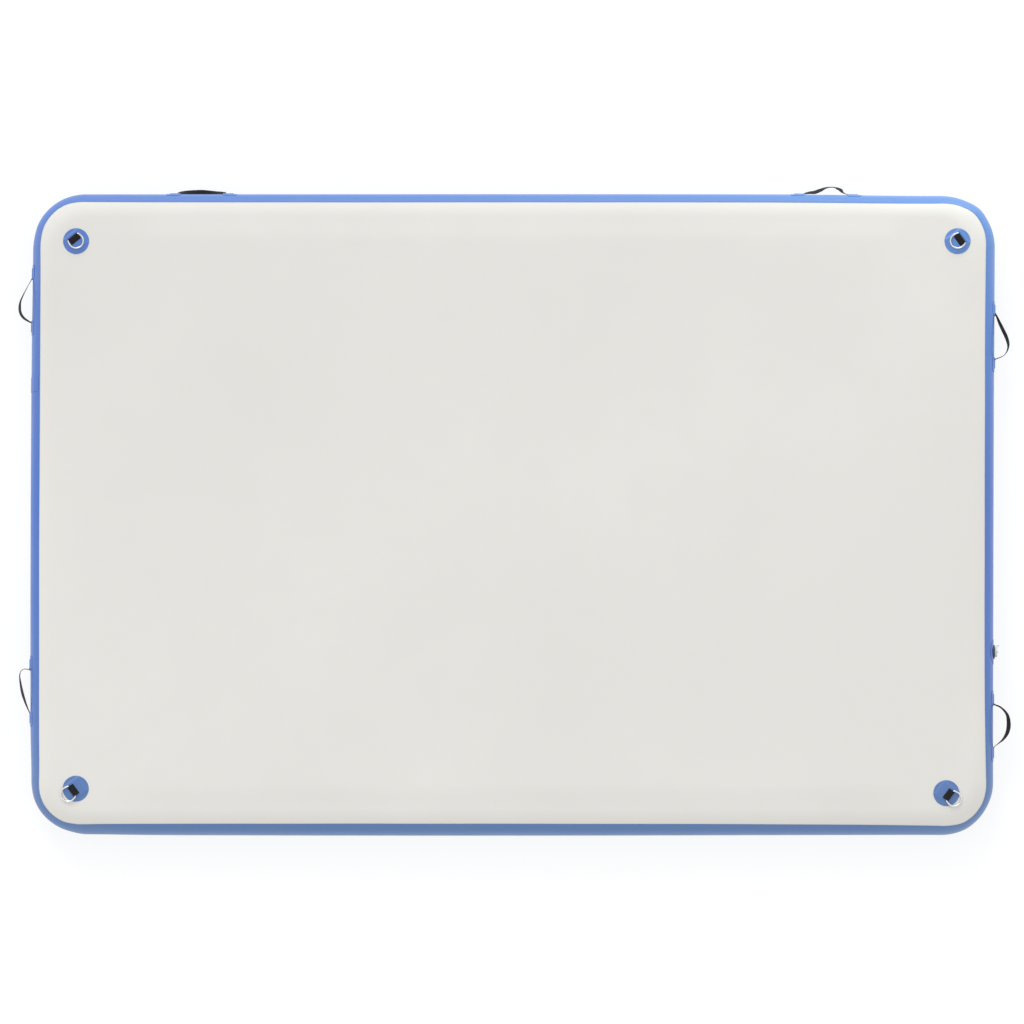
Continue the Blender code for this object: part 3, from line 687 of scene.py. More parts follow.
def rounded_grid(half_x, half_y, corner, steps, pitch):
    """A flat grid with round corners: its points, its quads and the indices round its edge."""
    xs = grid_lines(half_x, corner, steps, pitch)
    ys = grid_lines(half_y, corner, steps, pitch)
    nx, ny = len(xs), len(ys)
    flat = [to_round(x, y, half_x, half_y, corner) for x in xs for y in ys]
    rim = [i * ny for i in range(nx)]
    rim += [(nx - 1) * ny + j for j in range(1, ny)]
    rim += [i * ny + ny - 1 for i in range(nx - 2, -1, -1)]
    rim += list(range(ny - 2, 0, -1))
    return flat, strip_faces(nx, ny)[0], rim


def ring_quads(first, second):
    """Quads between two closed rings, either of indices or of UV places."""
    turned = [ring[1:] + ring[:1] for ring in (first, second)]
    return [list(quad) for quad in zip(first, *turned, second)]


def patch(name, half_x, half_y, corner, steps, pitch, top, bottom, material, body, **kw):
    """A closed sheet with round corners; top(x, y) and bottom(x, y) give its two faces' points."""
    flat, quads, rim = rounded_grid(half_x, half_y, corner, steps, pitch)
    verts = [side(x, y) for side in (top, bottom) for x, y in flat]
    faces, uvs = [], []
    for quad in quads:
        uv = [flat[k] for k in quad]
        faces += [quad, [len(flat) + k for k in quad[::-1]]]
        uvs += [uv, uv[::-1]]
    places = [flat[k] for k in rim]
    bulge = 0.45
    for x, y in places:
        a, b = Vector(top(x, y)), Vector(bottom(x, y))
        reach = 1 + bulge * (a - b).length / max(hypot(x, y), 1e-6)
        c, d = Vector(top(x * reach, y * reach)), Vector(bottom(x * reach, y * reach))
        verts.append((c + d) / 2)
    middle = list(range(2 * len(flat), len(verts)))
    faces += ring_quads(rim, middle) + ring_quads(middle, [len(flat) + k for k in rim])
    uvs += ring_quads(places, places) * 2
    return piece(name, verts, faces, uvs, material, body, **kw)


def lathed(name, profile, place, material, body, steps=96, ripple=None, sharp=30, **kw):
    """Turns (radius, height) points round the place's Z; ripple shifts a point's radius."""
    rows = []
    for k in range(steps):
        angle = 2 * pi * k / steps
        row = []
        for radius, height in profile:
            r = radius + (ripple(radius, height, angle) if ripple else 0.0)
            row.append(place @ Vector((r * cos(angle), r * sin(angle), height)))
        rows.append(row)
    return swept(name, rows, material, body, close_rows=True, sharp=sharp, **kw)


def curve_through(points, step):
    """Points about one step apart on a Catmull-Rom curve through the given ones."""
    line = []
    for i in range(len(points) - 1):
        p1, p2 = points[i], points[i + 1]
        p0 = points[i - 1] if i else 2 * p1 - p2
        p3 = points[i + 2] if i + 2 < len(points) else 2 * p2 - p1
        steps = max(2, round((p2 - p1).to_3d().length / step))
        for k in range(steps):
            t = k / steps
            curve = 2 * p1 + (p2 - p0) * t + (2 * p0 - 5 * p1 + 4 * p2 - p3) * t * t
            line.append((curve + (3 * p1 - p0 - 3 * p2 + p3) * t**3) / 2)
    return line + [points[-1]]


def ahead_at(line, i):
    """The direction of an open line at its point i."""
    return (line[min(i + 1, len(line) - 1)] - line[max(i - 1, 0)]).to_3d().normalized()


def taken(bm, place):
    """A bmesh's points, moved to a place, and its faces; the bmesh itself is freed."""
    bm.verts.index_update()
    verts = [place @ v.co for v in bm.verts]
    faces = [[v.index for v in f.verts] for f in bm.faces]
    bm.free()
    return verts, faces


def carried(node, material):
    """A CAD node whose shape is right, with a better material."""
    item = frame["nodes"][node]
    item.data.materials.clear()
    item.data.materials.append(material)
    return item


def softened(node, material, slot, cuts_x, cuts_y):
    """A hidden CAD sheet, cut up finely enough to settle with the skins and the band."""
    bm = bmesh.new()
    bm.from_mesh(frame["nodes"][node].data)
    bmesh.ops.remove_doubles(bm, verts=bm.verts, dist=1e-6)
    for axis, cuts in ((X, cuts_x), (Y, cuts_y)):
        for cut in cuts:
            parts = [*bm.verts, *bm.edges, *bm.faces]
            bmesh.ops.bisect_plane(bm, geom=parts, dist=1e-6, plane_co=axis * cut, plane_no=axis)
    verts, faces = taken(bm, Matrix())
    return piece(f"{node}_settled", verts, faces, None, material, "mat", (node,), slot, sharp=40)


# The mat's body


def band_edge_at(point, angle):
    """Elevation in degrees of the band's upper edge, from its width as the camera sees it."""
    out = outward(angle)
    width = read_outline(station_of(*(point + out * BAND_RADIUS).xy)[0], 2)
    return degrees(acos(1 - width / BAND_RADIUS)) + CAMERA_TILT * out.y


def outline(corner_steps, pitch):
    """(point, outward angle) round the bulge's centre line, at even steps."""
    path = []
    cx, cy = HALF_X - PATH_CORNER, HALF_Y - PATH_CORNER
    for sx, sy, start in ((1, 1, 0), (-1, 1, 90), (-1, -1, 180), (1, -1, 270)):
        for k in range(corner_steps + 1):
            angle = start + 90 * k / corner_steps
            path.append((Vector((sx * cx, sy * cy, 0)) + PATH_CORNER * outward(angle), angle))
        point, angle = path[-1]
        side = 2 * cy if start in (90, 270) else 2 * cx
        way = outward(angle + 90)
        steps = round(side / pitch)
        path += [(point + way * side * k / steps, angle) for k in range(1, steps)]
    return path


def even_edges(path):
    """The band's edge elevation at each path point, smoothed along the outline."""
    edges = [band_edge_at(point, angle) for point, angle in path]
    reach, spread = 6, 3.0
    count = len(edges)
    weights = [exp(-((k / spread) ** 2)) for k in range(-reach, reach + 1)]
    total = sum(weights)
    smoothed = []
    for i in range(count):
        near = (edges[(i + k) % count] for k in range(-reach, reach + 1))
        smoothed.append(sum(w * e for w, e in zip(weights, near)) / total)
    return smoothed


def pucker(point, angle, share):
    """How far the band stands off the skin where it gathers round a corner."""
    turn = (angle % 90) / 45
    corner = max(0.0, 1 - abs(turn - 1)) ** 0.5 if angle % 90 else 0.0
    if corner == 0.0:
        return 0.0
    where = radians(angle) * OUTLINE_CORNER
    waves = noise.noise(Vector((where * 55, point.x, point.y)))
    waves += 0.4 * sin(where * 2 * pi / PUCKER_PITCH)
    return PUCKER_HEIGHT * corner * abs(share) ** 3 * max(0.0, waves)


def make_band(material):
    """The side band: a strip bent round the bulge, with its edges trimmed by hand."""
    path = outline(44, 0.012)
    rows = []
    arc_steps, back_steps = 26, 8
    lip = 0.3
    for (point, angle), edge in zip(path, even_edges(path)):
        out = outward(angle)
        high = edge + BAND_WANDER * cloudy(point.x, point.y, 4, 0.3)
        low = BAND_LOWER_EDGE + BAND_WANDER * cloudy(point.x, point.y, 4, 7.3)

        def at(radius, elevation):
            a = radians(elevation)
            return point + out * radius * cos(a) + Vector((0, 0, MIDDLE + radius * sin(a)))

        row = []
        for k in range(arc_steps + 1):
            elevation = low + (high - low) * k / arc_steps
            share = 2 * k / arc_steps - 1
            row.append(at(BAND_RADIUS + pucker(point, angle, share), elevation))
        row.append(at(BAND_RADIUS - SHEET / 2, high + lip))
        for k in range(back_steps, -1, -1):
            row.append(at(BAND_RADIUS - SHEET, low + (high - low) * k / back_steps))
        row.append(at(BAND_RADIUS - SHEET / 2, low - lip))
        rows.append(row)
    kw = dict(close_rows=True, replaces=("outer_side_band",), slot="band_pvc")
    return swept("side_band", rows, material, "mat", **kw)


def deck_height(x, y):
    """The deck sinks a little between the places where its yarns hold it highest."""
    wave = cloudy(x, y, 5.0, 1.7)
    fade = 0.2
    edge = smooth_step((HALF_X - abs(x)) / fade) * smooth_step((HALF_Y - abs(y)) / fade)
    return -DECK_SINK * edge * (0.5 + 0.5 * wave)


def make_skin(name, side, material):
    """Deck or underside: a flat face that bends round the bulge to its edge under the band."""
    flat, quads, rim = rounded_grid(HALF_X, HALF_Y, PATH_CORNER, steps=9, pitch=0.022)
    edge = [flat[k] for k in rim]
    outs = []
    for x, y in edge:
        dx, dy = max(0.0, abs(x) - HALF_X + PATH_CORNER), max(0.0, abs(y) - HALF_Y + PATH_CORNER)
        outs.append(Vector((dx * sign(x), dy * sign(y), 0)).normalized())
    verts, faces, uvs = [], [], []

    def layer(inset, flip):
        """One face of the sheet; returns its edge's points and their places on the flat cloth."""
        ring, places = [len(verts) + k for k in rim], edge
        made = [([len(verts) + k for k in quad], [flat[k] for k in quad]) for quad in quads]
        for x, y in flat:
            lift = deck_height(x, y) if side > 0 else 0.0
            verts.append((x, y, MIDDLE + side * (MIDDLE - inset) + lift))
        radius = SKIN_RADIUS - inset
        for bend in range(90 - BEND_STEP, SKIN_EDGE - 1, -BEND_STEP):
            a, unrolled = radians(bend), SKIN_RADIUS * radians(90 - bend)
            last, last_places = ring, places
            ring, places = list(range(len(verts), len(verts) + len(rim))), []
            for (x, y), out in zip(edge, outs):
                p = Vector((x, y, MIDDLE + side * radius * sin(a))) + out * radius * cos(a)
                verts.append(tuple(p))
                places.append((x + out.x * unrolled, y + out.y * unrolled))
            made += zip(ring_quads(last, ring), ring_quads(last_places, places))
        for quad, uv in made:
            faces.append(quad[::-1] if flip else quad)
            uvs.append(uv[::-1] if flip else uv)
        return ring, places

    outer, places = layer(0.0, False)
    inner = layer(SHEET, True)[0]
    faces += ring_quads(outer, inner)
    uvs += ring_quads(places, places)
    node = "top_skin" if side > 0 else "bottom_skin"
    skin = piece(name, verts, faces, uvs, material, "mat", (node,), "deck_pvc", sharp=50)


def wall_frame(heading):
    """A straight wall's frame: +X outward, +Y along it, origin on the bulge's centre line."""
    half = HALF_Y if heading == 90 else HALF_X
    turn = Matrix.Rotation(radians(heading), 4, "Z")
    return Matrix.Translation(turn @ Vector((half, 0, MIDDLE))) @ turn


def on_wall(frame_of_wall, along, height):
    """Maps a patch's (x along the wall, y round the bulge) to the wall, above the band."""

    def place(x, y):
        radius = BAND_RADIUS + height(x, y)
        a = y / BAND_RADIUS
        return frame_of_wall @ Vector((radius * cos(a), along + x, radius * sin(a)))

    return place


def make_splice(material):
    """The cover strip over the place where the band's two ends meet."""
    low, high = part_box("band_splice")
    middle = (low.y + high.y) / 2
    wall = wall_frame(180)
    half_round = BAND_RADIUS * radians(SPLICE_HALF_ANGLE)

    def top(x, y):
        return GAP + SHEET + 0.0002 * cloudy(x, y, 60, 4)

    patch(
        "band_splice_strip", SPLICE_HALF_WIDTH, half_round, SPLICE_CORNER, 4, 0.006,
        on_wall(wall, -middle, top), on_wall(wall, -middle, lambda x, y: GAP),
        material, "mat", replaces=("band_splice",), slot="band_pvc",
    )


# D-ring fittings


def ring_place(name):
    """A fitting's frame: +X towards its bar, origin on the deck at the disc's centre."""
    low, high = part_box(f"{name}_cover")
    middle = (low + high) / 2
    bar = Vector(joints[f"{name}_swing"]["pos_m"])
    heading = atan2(bar.y - middle.y, bar.x - middle.x)
    return Matrix.Translation((middle.x, middle.y, THICKNESS)) @ Matrix.Rotation(heading, 4, "Z")


def weld_line(beside, depth, width):
    """The groove of a weld at a distance beside its line."""
    return depth * exp(-((beside / width) ** 2))


def creased(rise, height, waves):
    """Small wrinkles on a sheet's slopes, where its rise is between 0 and 1."""
    return height * rise * (1 - rise) * 4 * waves


def disc_rise(x, y):
    """Height of a disc's lower face over the webbing's feet, from 0 at the rim to 1."""
    over = max(abs(x) / DOME_X, abs(y) / DOME_Y)
    return smooth_step((DOME_FOOT - over) / DOME_SLOPE)


def make_disc(name, place, material, under_material):
    """The blue disc, domed over the webbing's feet, with the slit and its underlay."""
    dome = CROWN - GAP - SHEET

    def top(x, y):
        rise = disc_rise(x, y)
        wrinkles = creased(rise, 0.00022, cloudy(x, y, 260, place.translation.x))
        weld = weld_line(hypot(x, y) - WELD_RADIUS, 0.00016, 0.0007)
        return place @ Vector((x, y, GAP + SHEET + dome * rise + wrinkles - weld))

    def bottom(x, y):
        return place @ Vector((x, y, GAP + dome * disc_rise(x, y)))

    disc = patch(
        f"{name}_patch", DISC_RADIUS, DISC_RADIUS, DISC_RADIUS, 22, 1.0, top, bottom,
        material, "mat", replaces=(f"{name}_cover",), slot="band_pvc",
    )
    cut = bmesh.new()
    bmesh.ops.create_cube(cut, size=1.0)
    bmesh.ops.scale(cut, vec=SLIT, verts=cut.verts)
    upright = [e for e in cut.edges if abs(e.verts[0].co.z - e.verts[1].co.z) > SLIT[2] / 2]
    bmesh.ops.bevel(cut, geom=upright, offset=SLIT_CORNER, segments=4, affect="EDGES")
    bake_cut(disc, cut, place)
    low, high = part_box(f"{name}_underlay")
    radius = (high.x - low.x) / 2
    rim = [(AXIS, GAP), (radius, GAP), (radius, GAP + SHEET), (AXIS, GAP + SHEET)]
    lathed(
        f"{name}_under_patch", rim, place, under_material, "mat", 48,
        replaces=(f"{name}_underlay",), slot="tape_pvc",
    )


def bake_cut(item, shape, place):
    """Cuts a shape out of the item for good."""
    tool_mesh = bpy.data.meshes.new("tool")
    shape.to_mesh(tool_mesh)
    shape.free()
    tool = put("tool", tool_mesh)
    tool.matrix_world = place
    step = item.modifiers.new("cut", "BOOLEAN")
    step.operation = "DIFFERENCE"
    step.solver = "EXACT"
    step.object = tool
    bpy.context.view_layer.update()
    result = item.evaluated_get(bpy.context.evaluated_depsgraph_get())
    mesh = bpy.data.meshes.new_from_object(result)
    item.modifiers.clear()
    old = item.data
    item.data = mesh
    bpy.data.meshes.remove(old)
    bpy.data.objects.remove(tool, do_unlink=True)
    mesh.shade_smooth()
    mesh.set_sharp_from_angle(angle=radians(50))


def tab_path():
    """The webbing's centre line across the bar: foot, slit, over the bar, back, foot."""
    half = WEBBING / 2
    foot = 0.0023
    lower = CROWN + GAP + half
    turn = WIRE + GAP + half
    points = [(-0.0200, foot), (-0.0060, foot), (-0.0026, foot + 0.0002), (-0.0011, 0.0040)]
    points += [(-0.0002, 0.0064), (0.0018, 0.0082), (0.0060, 0.0098), (0.0105, 0.0114)]
    for a in range(105, -91, -15):
        points.append((BAR_X + turn * cos(radians(a)), BAR_Z + turn * sin(radians(a))))
    points += [(0.0120, lower), (0.0060, lower), (0.0028, lower - 0.0002), (0.0013, 0.0038)]
    points += [(0.0026, foot + 0.0002), (0.0060, foot), (0.0200, foot)]
    return [(x, 0, z) for x, z in points]


def ribbon_row(centre, across, normal, width, thick, cup=0.0):
    """A closed cross-section of webbing with rounded selvedges, cupped by 'cup' per metre."""
    half, up = width / 2, thick / 2
    flat = half - 0.3 * thick
    selvedge = half - 0.05 * thick
    row = []
    for side in (1, -1):
        for k in range(0, 9):
            w = side * flat * (k - 4) / 4
            row.append(centre + across * w + normal * (side * up - cup * w * w))
        for face in (side, -side):
            drop = 0.55 * face * up - cup * half * half
            row.append(centre + across * side * selvedge + normal * drop)
    return row


def ribbon(name, points, place, across, width, thick, material, step, **kw):
    """A straight ribbon of webbing along a curve in a plane across it."""
    line = curve_through([Vector(p) for p in points], step)
    turn = place.to_3x3()
    rows = []
    for i, point in enumerate(line):
        normal = ahead_at(line, i).cross(across)
        rows.append(ribbon_row(place @ point, turn @ across, turn @ normal, width, thick))
    swept(name, rows, material, "mat", caps=True, sharp=60, **kw)


def make_tab(name, place, material, thread):
    """The webbing tab round the bar, and two rows of stitches across it."""
    kw = dict(replaces=(f"{name}_tab",), slot="webbing")
    path = tab_path()
    ribbon(f"{name}_webbing", path, place, Y, TAB_WIDTH, WEBBING, material, step=0.0011, **kw)
    verts, faces = [], []
    (x0, z0), (x1, z1) = (point[::2] for point in path[6:8])
    for column in STITCH_COLUMNS:
        z = z0 + (z1 - z0) * (column - x0) / (x1 - x0) + WEBBING / 2
        for k in range(STITCHES):
            y = (TAB_WIDTH / 2 - STITCH_MARGIN) * (2 * k / (STITCHES - 1) - 1)
            stitch(verts, faces, place @ Vector((column, y, z)), place.to_3x3())
    piece(f"{name}_stitches", verts, faces, None, thread, "mat", slot="webbing")


def stitch(verts, faces, at, turn):
    """One thread stitch: a short sunk bead along Y."""
    start = len(verts)
    rings, sides = 7, 6
    radius, half = 0.00036, 0.00105
    for i in range(rings):
        t = -1 + 2 * i / (rings - 1)
        swell = sqrt(max(0.0, 1 - (0.96 * t) ** 2))
        for k in range(sides):
            a = 2 * pi * k / sides
            p = Vector((radius * swell * cos(a), half * t, radius * swell * sin(a)))
            verts.append(at + turn @ p)
    loops = [list(range(start + i * sides, start + (i + 1) * sides)) for i in range(rings)]
    for first, second in zip(loops, loops[1:]):
        faces += ring_quads(first, second)
    faces += [loops[0], loops[-1]]


def d_ring_line():
    """The D's centre line: the bar lies on x = 0 and the bow reaches towards +X."""
    points = []
    for a in range(-105, 106, 5):
        x = RING_BACK + RING_BOW * cos(radians(a))
        points.append(Vector((x, RING_BOW * sin(radians(a)), 0)))
    middle = RING_BAR_HALF - RING_CORNER
    for side, start in ((1, 90), (-1, 180)):
        for a in range(start, start + 91, 15):
            x = RING_CORNER + RING_CORNER * cos(radians(a))
            points.append(Vector((x, side * middle + RING_CORNER * sin(radians(a)), 0)))
        if side > 0:
            points += [Vector((0, middle * (1 - 2 * k / 8), 0)) for k in range(1, 8)]
    return points


def make_d_ring(name, place, material):
    """A steel ring that leans on the disc when folded inwards, and else on the deck."""
    folded = name in RINGS_FOLDED_IN
    rest = WIRE + RING_CLEARANCE + (CROWN if folded else 0.0)
    lean = asin((BAR_Z - rest) / (RING_BACK + RING_BOW))
    bar = place @ Matrix.Translation((BAR_X, 0, BAR_Z))
    bar = bar @ Matrix.Rotation(pi - lean if folded else lean, 4, "Y")
    line = d_ring_line()
    rows = []
    for i, point in enumerate(line):
        ahead = (line[(i + 1) % len(line)] - line[i - 1]).normalized()
        side = Vector((ahead.y, -ahead.x, 0))
        row = []
        for k in range(20):
            a = 2 * pi * k / 20
            row.append(bar @ (point + WIRE * (cos(a) * side + sin(a) * Z)))
        rows.append(row)
    node = f"{name}_d_ring"
    kw = dict(close_rows=True, replaces=(node,), slot="ring_steel")
    swept(f"{name}_wire", rows, material, node, **kw)


# Handles


def make_strap(name, material):
    """One handle as a twisting ribbon that bends from its glued tails to its swinging part."""
    hinge = Vector(joints[f"{name}_swing"]["pos_m"])
    if abs(hinge.x) > LENGTH / 2:
        out, along = Vector((sign(hinge.x), 0, 0)), Y
    else:
        out, along = Y, X
    turns, middle_rows = STRAPS[name]
    first = sign(middle_rows[0][0])
    ends = [(side * first * STRAP_END, FLAT, 0, 0) for side in (1, -1)]
    keys = []
    for a, o, u, twist in (ends[0], *middle_rows, ends[1]):
        key = hinge + (along * a + out * o + Z * u) * 0.001
        keys.append(Vector((*key, radians(twist))))
    line = curve_through(keys, 0.0022)
    rows = []
    face = 0
    for i, key in enumerate(line):
        point = key.to_3d()
        ahead = ahead_at(line, i)
        across = (Z - ahead * Z.dot(ahead)).normalized()
        across = Matrix.Rotation(key.w, 3, ahead) @ across
        normal = ahead.cross(across)
        face = face or sign(normal.dot(out))
        above = (point - hinge).dot(out) + HINGE_OFFSET
        cup = WALL_CUP * (1 - smooth_step((above - CUP_END) / CUP_FADE))
        rows.append(ribbon_row(point, across, normal * face, STRAP_WIDTH, STRAP_THICK, cup))
    node = f"{name}_strap"
    kw = dict(caps=True, replaces=(node,), slot="webbing", sharp=60)
    strap = swept(f"{name}_webbing", rows, material, None, **kw)
    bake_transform(strap)
    return out


def make_anchor(name, number, out, material):
    """A blue patch over one glued end of a handle's strap."""
    node = f"{name}_anchor_{number}"
    low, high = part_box(node)
    middle = (low + high) / 2
    heading = round(degrees(atan2(out.y, out.x))) % 360
    wall = wall_frame(heading)
    local = wall.inverted() @ middle
    hinge = wall.inverted() @ Vector(joints[f"{name}_swing"]["pos_m"])
    inward = -sign(local.y - hinge.y)
    cover = STRAP_THICK + 0.0004

    def hump(x, y):
        """Rise over the strap's tail, which comes in from the side nearest the strap's middle."""
        from_start = ANCHOR_HALF_LENGTH - x * inward
        beside = smooth_step((STRAP_WIDTH / 2 + HUMP_EDGE - abs(y)) / 0.0032)
        before_end = smooth_step((TAIL_LENGTH + HUMP_EDGE - from_start) / HUMP_EDGE)
        return beside * before_end

    def top(x, y):
        rise = hump(x, y)
        wrinkles = creased(rise, 0.0002, cloudy(x, y, 220, local.y))
        weld = weld_line(ANCHOR_HALF_HEIGHT - ANCHOR_WELD - abs(y), 0.00012, 0.0006)
        return GAP + SHEET + cover * rise + wrinkles - weld

    def bottom(x, y):
        return GAP + cover * hump(x, y)

    patch(
        f"{node}_patch", ANCHOR_HALF_LENGTH, ANCHOR_HALF_HEIGHT, ANCHOR_CORNER, 6, 0.0016,
        on_wall(wall, local.y, top), on_wall(wall, local.y, bottom),
        material, "mat", replaces=(node,), slot="band_pvc",
    )


# Valve


def make_valve(paint, band):
    place = Matrix.Translation((LENGTH / 2, VALVE.y, VALVE.z)) @ Matrix.Rotation(pi / 2, 4, "Y")
    hole = bmesh.new()
    bore = dict(radius1=WALL_HOLE, radius2=WALL_HOLE, depth=0.05)
    bmesh.ops.create_cone(hole, cap_ends=True, segments=96, **bore)
    bake_cut(band, hole, place)
    make_valve_patch(paint["band"])
    make_valve_body(place, paint["nylon"])
    make_cap(place, paint["cap"])
    make_tether(place, paint["cap"])


def make_valve_patch(material):
    """The blue ring round the valve, with a weld line near its edge."""
    inner, outer, weld = WALL_HOLE, VALVE_PATCH_RADIUS, VALVE_WELD_RADIUS
    top = GAP + SHEET
    section = [(inner, top), (0.030, top), (weld - 0.0006, top), (weld, GAP + 0.7 * SHEET)]
    section += [(weld + 0.0006, top), (outer - 0.0004, top), (outer, GAP + SHEET / 2)]
    section += [(outer - 0.0002, GAP), (0.030, GAP), (inner, GAP)]
    steps = 96
    wall = wall_frame(0)
    rows = []
    for angle in (2 * pi * k / steps for k in range(steps)):
        row = []
        for radius, height in section:
            spot = on_wall(wall, VALVE.y, lambda x, y: height)
            row.append(spot(radius * cos(angle), radius * sin(angle)))
        rows.append(row)
    kw = dict(close_rows=True, replaces=("valve_patch",), slot="band_pvc")
    swept("valve_patch_sheet", rows, material, "mat", **kw)


def make_valve_body(place, material):
    """The flange and its collar, the neck inside the mat, and the stem's hub on its spokes."""

    def notches(radius, height, angle):
        """Six spanner notches in the flange's rim."""
        if radius < FLANGE_RADIUS - 0.0015 or height < FLANGE_FOOT - 0.0001:
            return 0.0
        spot = (angle % (pi / 3)) - pi / 6
        return -0.0016 * smooth_step((0.12 - abs(spot)) / 0.03)

    face, edge = FLANGE_TOP, FLANGE_RADIUS
    flange = [(NECK_INNER, -NECK_SPLIT), (NECK_INNER, COLLAR_TOP - 0.003)]
    flange += [(COLLAR_INNER, COLLAR_TOP - EASE), (COLLAR_INNER + EASE, COLLAR_TOP)]
    flange += [(COLLAR_OUTER - EASE, COLLAR_TOP), (COLLAR_OUTER, COLLAR_TOP - EASE)]
    flange += [(COLLAR_OUTER, face + 0.0001), (COLLAR_OUTER + 0.0004, face)]
    flange += [(0.0169, face), (0.0172, face - EASE), (0.0178, face - EASE), (0.0181, face)]
    flange += [(edge - 0.0012, face), (edge - 0.0004, face - EASE), (edge, face - 0.0012)]
    flange += [(edge, FLANGE_FOOT), (edge, -FLANGE_SINK), (NECK_OUTER, -FLANGE_SINK)]
    flange += [(NECK_OUTER, -NECK_SPLIT)]
    kw = dict(slot="valve_nylon")
    lathed("valve_flange", flange, place, material, "mat", 144, notches, **kw)
    upper_end, mouth = NECK_SPLIT + 0.0002, 0.008
    lower = [(NECK_INNER, -upper_end), (NECK_OUTER, -upper_end), (NECK_OUTER, -NECK_DEPTH)]
    lower += [(mouth, -NECK_DEPTH), (mouth, -NECK_FLOOR), (NECK_INNER, -NECK_FLOOR)]
    neck = lathed("valve_neck", lower, place, material, "mat", 72, **kw)
    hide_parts("valve_body")
    hub = [(0.0034, -0.0165), (0.0060, -0.0165), (0.0060, -0.0140), (0.0034, -0.0140)]
    lathed("valve_hub", hub, place, material, "mat", 48, **kw)
    spokes(place, material)


def make_cap(place, material):
    """The cap's shell with ribs round its side, and its grip bar."""

    def ribs(radius, height, angle):
        if radius < CAP_RADIUS - 0.0002 or not 0.0058 < height < 0.0102:
            return 0.0
        return -0.0004 * (0.5 + 0.5 * cos(CAP_RIBS * angle))

    skirt, inner, outer = FLANGE_TOP + 2 * GAP, COLLAR_OUTER + 0.0004, CAP_RADIUS
    shell = [(inner, skirt), (outer - EASE, skirt), (outer, skirt + EASE)]
    shell += [(outer, 0.0060), (outer, 0.0080), (outer, 0.0100)]
    shell += [(outer - 0.0004, CAP_TOP - 0.0012), (outer - 0.0012, CAP_TOP - 0.0004)]
    shell += [(outer - 0.0024, CAP_TOP), (0.0126, CAP_TOP), (0.0122, CAP_TOP - 0.0004)]
    shell += [(0.0119, CAP_TOP - 0.0004), (0.0115, CAP_TOP), (AXIS, CAP_TOP)]
    shell += [(AXIS, CAP_ROOF), (inner, CAP_ROOF)]
    kw = dict(slot="cap_plastic")
    cap = lathed("cap_shell", shell, place, material, "valve_cap", 144, ribs, **kw)
    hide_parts("valve_cap")
    size = (0.0218, 0.0038, 0.0033)
    bm = bmesh.new()
    bmesh.ops.create_cube(bm, size=1.0)
    bmesh.ops.scale(bm, vec=size, verts=bm.verts)
    bmesh.ops.translate(bm, vec=(0, 0, CAP_TOP + size[2] / 2 - 0.0004), verts=bm.verts)
    bmesh.ops.bevel(bm, geom=list(bm.edges), offset=0.28 * size[2], segments=3, affect="EDGES")
    verts, faces = taken(bm, place)
    piece("cap_grip", verts, faces, None, material, "valve_cap", sharp=60, **kw)


def make_spring(material):
    """The valve's coil, in the CAD part's shape. The real coil closes up as the stem pushes its
    head inwards.
    """
    mesh = frame["nodes"]["valve_spring"].data
    verts = [v.co.copy() for v in mesh.vertices]
    faces = [list(face.vertices) for face in mesh.polygons]
    coil = piece("valve_coil", verts, faces, None, material, None, ("valve_spring",), sharp=70)
    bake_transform(coil)


BOX_FACES = (0, 1, 3, 2), (4, 6, 7, 5), (0, 4, 5, 1), (2, 3, 7, 6), (0, 2, 6, 4), (1, 5, 7, 3)


def spokes(place, material):
    """Four flat spokes that hold the stem's hub in the neck."""
    verts, faces = [], []
    for k in range(4):
        turn = place @ Matrix.Rotation(pi / 2 * k, 4, "Z")
        start = len(verts)
        for x in (0.0058, NECK_INNER + 0.0002):
            for y in (-0.0013, 0.0013):
                for z in (-0.0162, -0.0143):
                    verts.append(turn @ Vector((x, y, z)))
        faces += [[start + i for i in face] for face in BOX_FACES]
    piece("valve_spokes", verts, faces, None, material, "mat", slot="valve_nylon", sharp=30)


def make_tether(place, material):
    """The cap's short strap, standing beside it, and the knob at its end."""
    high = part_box("cap_tether")[1]
    inner = CAP_RADIUS + 0.0005
    top = high.x - LENGTH / 2 - 0.0002
    points = [(0, inner + 0.0006, FLANGE_TOP + 0.0009), (0, inner + 0.0017, FLANGE_TOP + 0.0010)]
    points += [(0, inner + 0.0022, FLANGE_TOP + 0.0022), (0, inner + 0.0022, CAP_TOP)]
    points += [(0, inner + 0.0019, CAP_TOP + 0.0015), (0, inner + 0.0008, CAP_TOP + 0.0018)]
    kw = dict(replaces=("cap_tether",), slot="cap_plastic")
    size = (TETHER_WIDTH, TETHER_THICK)
    ribbon("tether_strap", points, place, X, *size, material, step=0.0006, **kw)
    knob = [(AXIS, 0.0), (0.0022, 0.0), (0.0026, 0.0004), (0.0026, 0.0028), (0.0020, 0.0038)]
    knob += [(0.0011, 0.0042), (AXIS, 0.0042)]
    at = place @ Matrix.Translation((0, inner + 0.0026, min(CAP_TOP + 0.0012, top - 0.0040)))
    lathed("tether_knob", knob, at, material, "mat", 32, slot="cap_plastic", sharp=60)


# Everything together

DECK_GREY = (0.795, 0.777, 0.732)
DECK_SHADE = (0.765, 0.750, 0.706)
BAND_BLUE = (0.072, 0.178, 0.575)
BAND_SHADE = (0.088, 0.184, 0.540)
# Painted shade: the band's colour at the front wall.
BAND_PAINTED_SHADE = (0.100, 0.200, 0.405)
# Painted light: the band's colour at the back wall.
BAND_PAINTED_LIGHT = (0.120, 0.270, 0.625)
WALL_GREY = (0.60, 0.61, 0.62)
WALL_SHADE = (0.55, 0.56, 0.57)


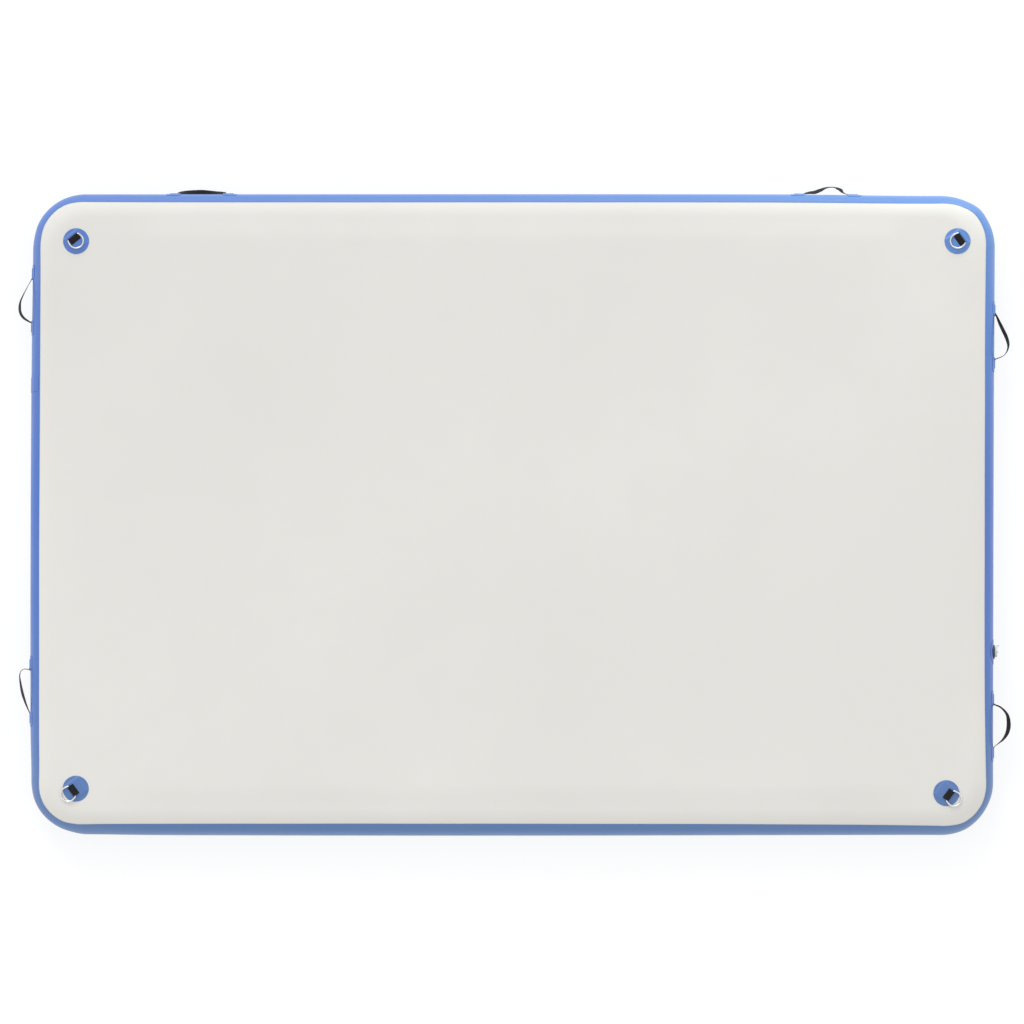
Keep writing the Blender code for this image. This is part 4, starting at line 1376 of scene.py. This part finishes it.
def make_paint():
    """Every material, by the name the pieces call it by."""
    return {
        "deck": pvc_cloth("deck_cloth", DECK_GREY, DECK_SHADE, 0.60, shine=0.3, dimples=True),
        "under": pvc_cloth("underside_cloth", DECK_GREY, DECK_SHADE, 0.56, shine=0.3),
        "band": pvc_cloth("band_cloth", BAND_BLUE, BAND_SHADE, 0.38, BAND_PAINTED_SHADE, BAND_PAINTED_LIGHT, 0.6),
        "wall": pvc_cloth("wall_cloth", WALL_GREY, WALL_SHADE, 0.55),
        "webbing": webbing_cloth("black_webbing", (0.006, 0.006, 0.0065), 0.0017),
        "thread": webbing_cloth("sewing_thread", (0.014, 0.014, 0.015), 0.0006),
        "steel": steel("polished_steel", (0.93, 0.93, 0.92), 0.20),
        "wire": steel("spring_wire", (0.62, 0.62, 0.61), 0.28),
        "nylon": moulding("dark_nylon", (0.055, 0.062, 0.072), 0.46),
        "stem": moulding("pale_nylon", (0.66, 0.66, 0.63), 0.42),
        "rubber": moulding("seal_rubber", (0.022, 0.022, 0.022), 0.70, 0.0001),
        "cap": moulding("cap_plastic", (0.70, 0.735, 0.735), 0.34, 0.00003),
        "cloth": base_cloth("stitch_cloth", (0.72, 0.72, 0.69)),
    }


def make_hidden(paint):
    """The sheets inside the mat, cut most finely near the walls, and the valve's inner pieces."""
    near = [0.0, 0.3, 0.6, 0.78, 0.86, 0.89, 0.91]
    longer = (LENGTH - WIDTH) / 2
    cuts_y = sorted({side * place for place in near for side in (1, -1)})
    cuts_x = {side * (place + longer) for place in near for side in (1, -1)}
    cuts_x = sorted(cuts_x | {0.0, longer / 2, -longer / 2})
    softened("drop_stitch_fabric", paint["cloth"], "drop_stitch_cloth", cuts_x, cuts_y)
    softened("inner_side_wall", paint["wall"], "wall_pvc", cuts_x, cuts_y)
    for edge in ("upper", "lower"):
        softened(f"inner_seam_tape_{edge}", paint["wall"], "tape_pvc", cuts_x, cuts_y)
    carried("valve_nut", paint["nylon"])
    carried("valve_stem", paint["stem"])
    carried("valve_diaphragm", paint["rubber"])
    carried("cap_gasket", paint["rubber"])


def main():
    """Sets the stage, then builds the mat, its fittings, handles and valve, and its inside."""
    make_camera()
    make_stage()
    paint = make_paint()
    make_skin("deck_skin", 1, paint["deck"])
    make_skin("underside_skin", -1, paint["under"])
    band = make_band(paint["band"])
    make_splice(paint["band"])
    for name in RINGS:
        place = ring_place(name)
        make_disc(name, place, paint["band"], paint["wall"])
        make_tab(name, place, paint["webbing"], paint["thread"])
        make_d_ring(name, place, paint["steel"])
    for name in STRAPS:
        out = make_strap(name, paint["webbing"])
        for number in (1, 2):
            make_anchor(name, number, out, paint["band"])
    make_valve(paint, band)
    make_spring(paint["wire"])
    make_hidden(paint)


main()
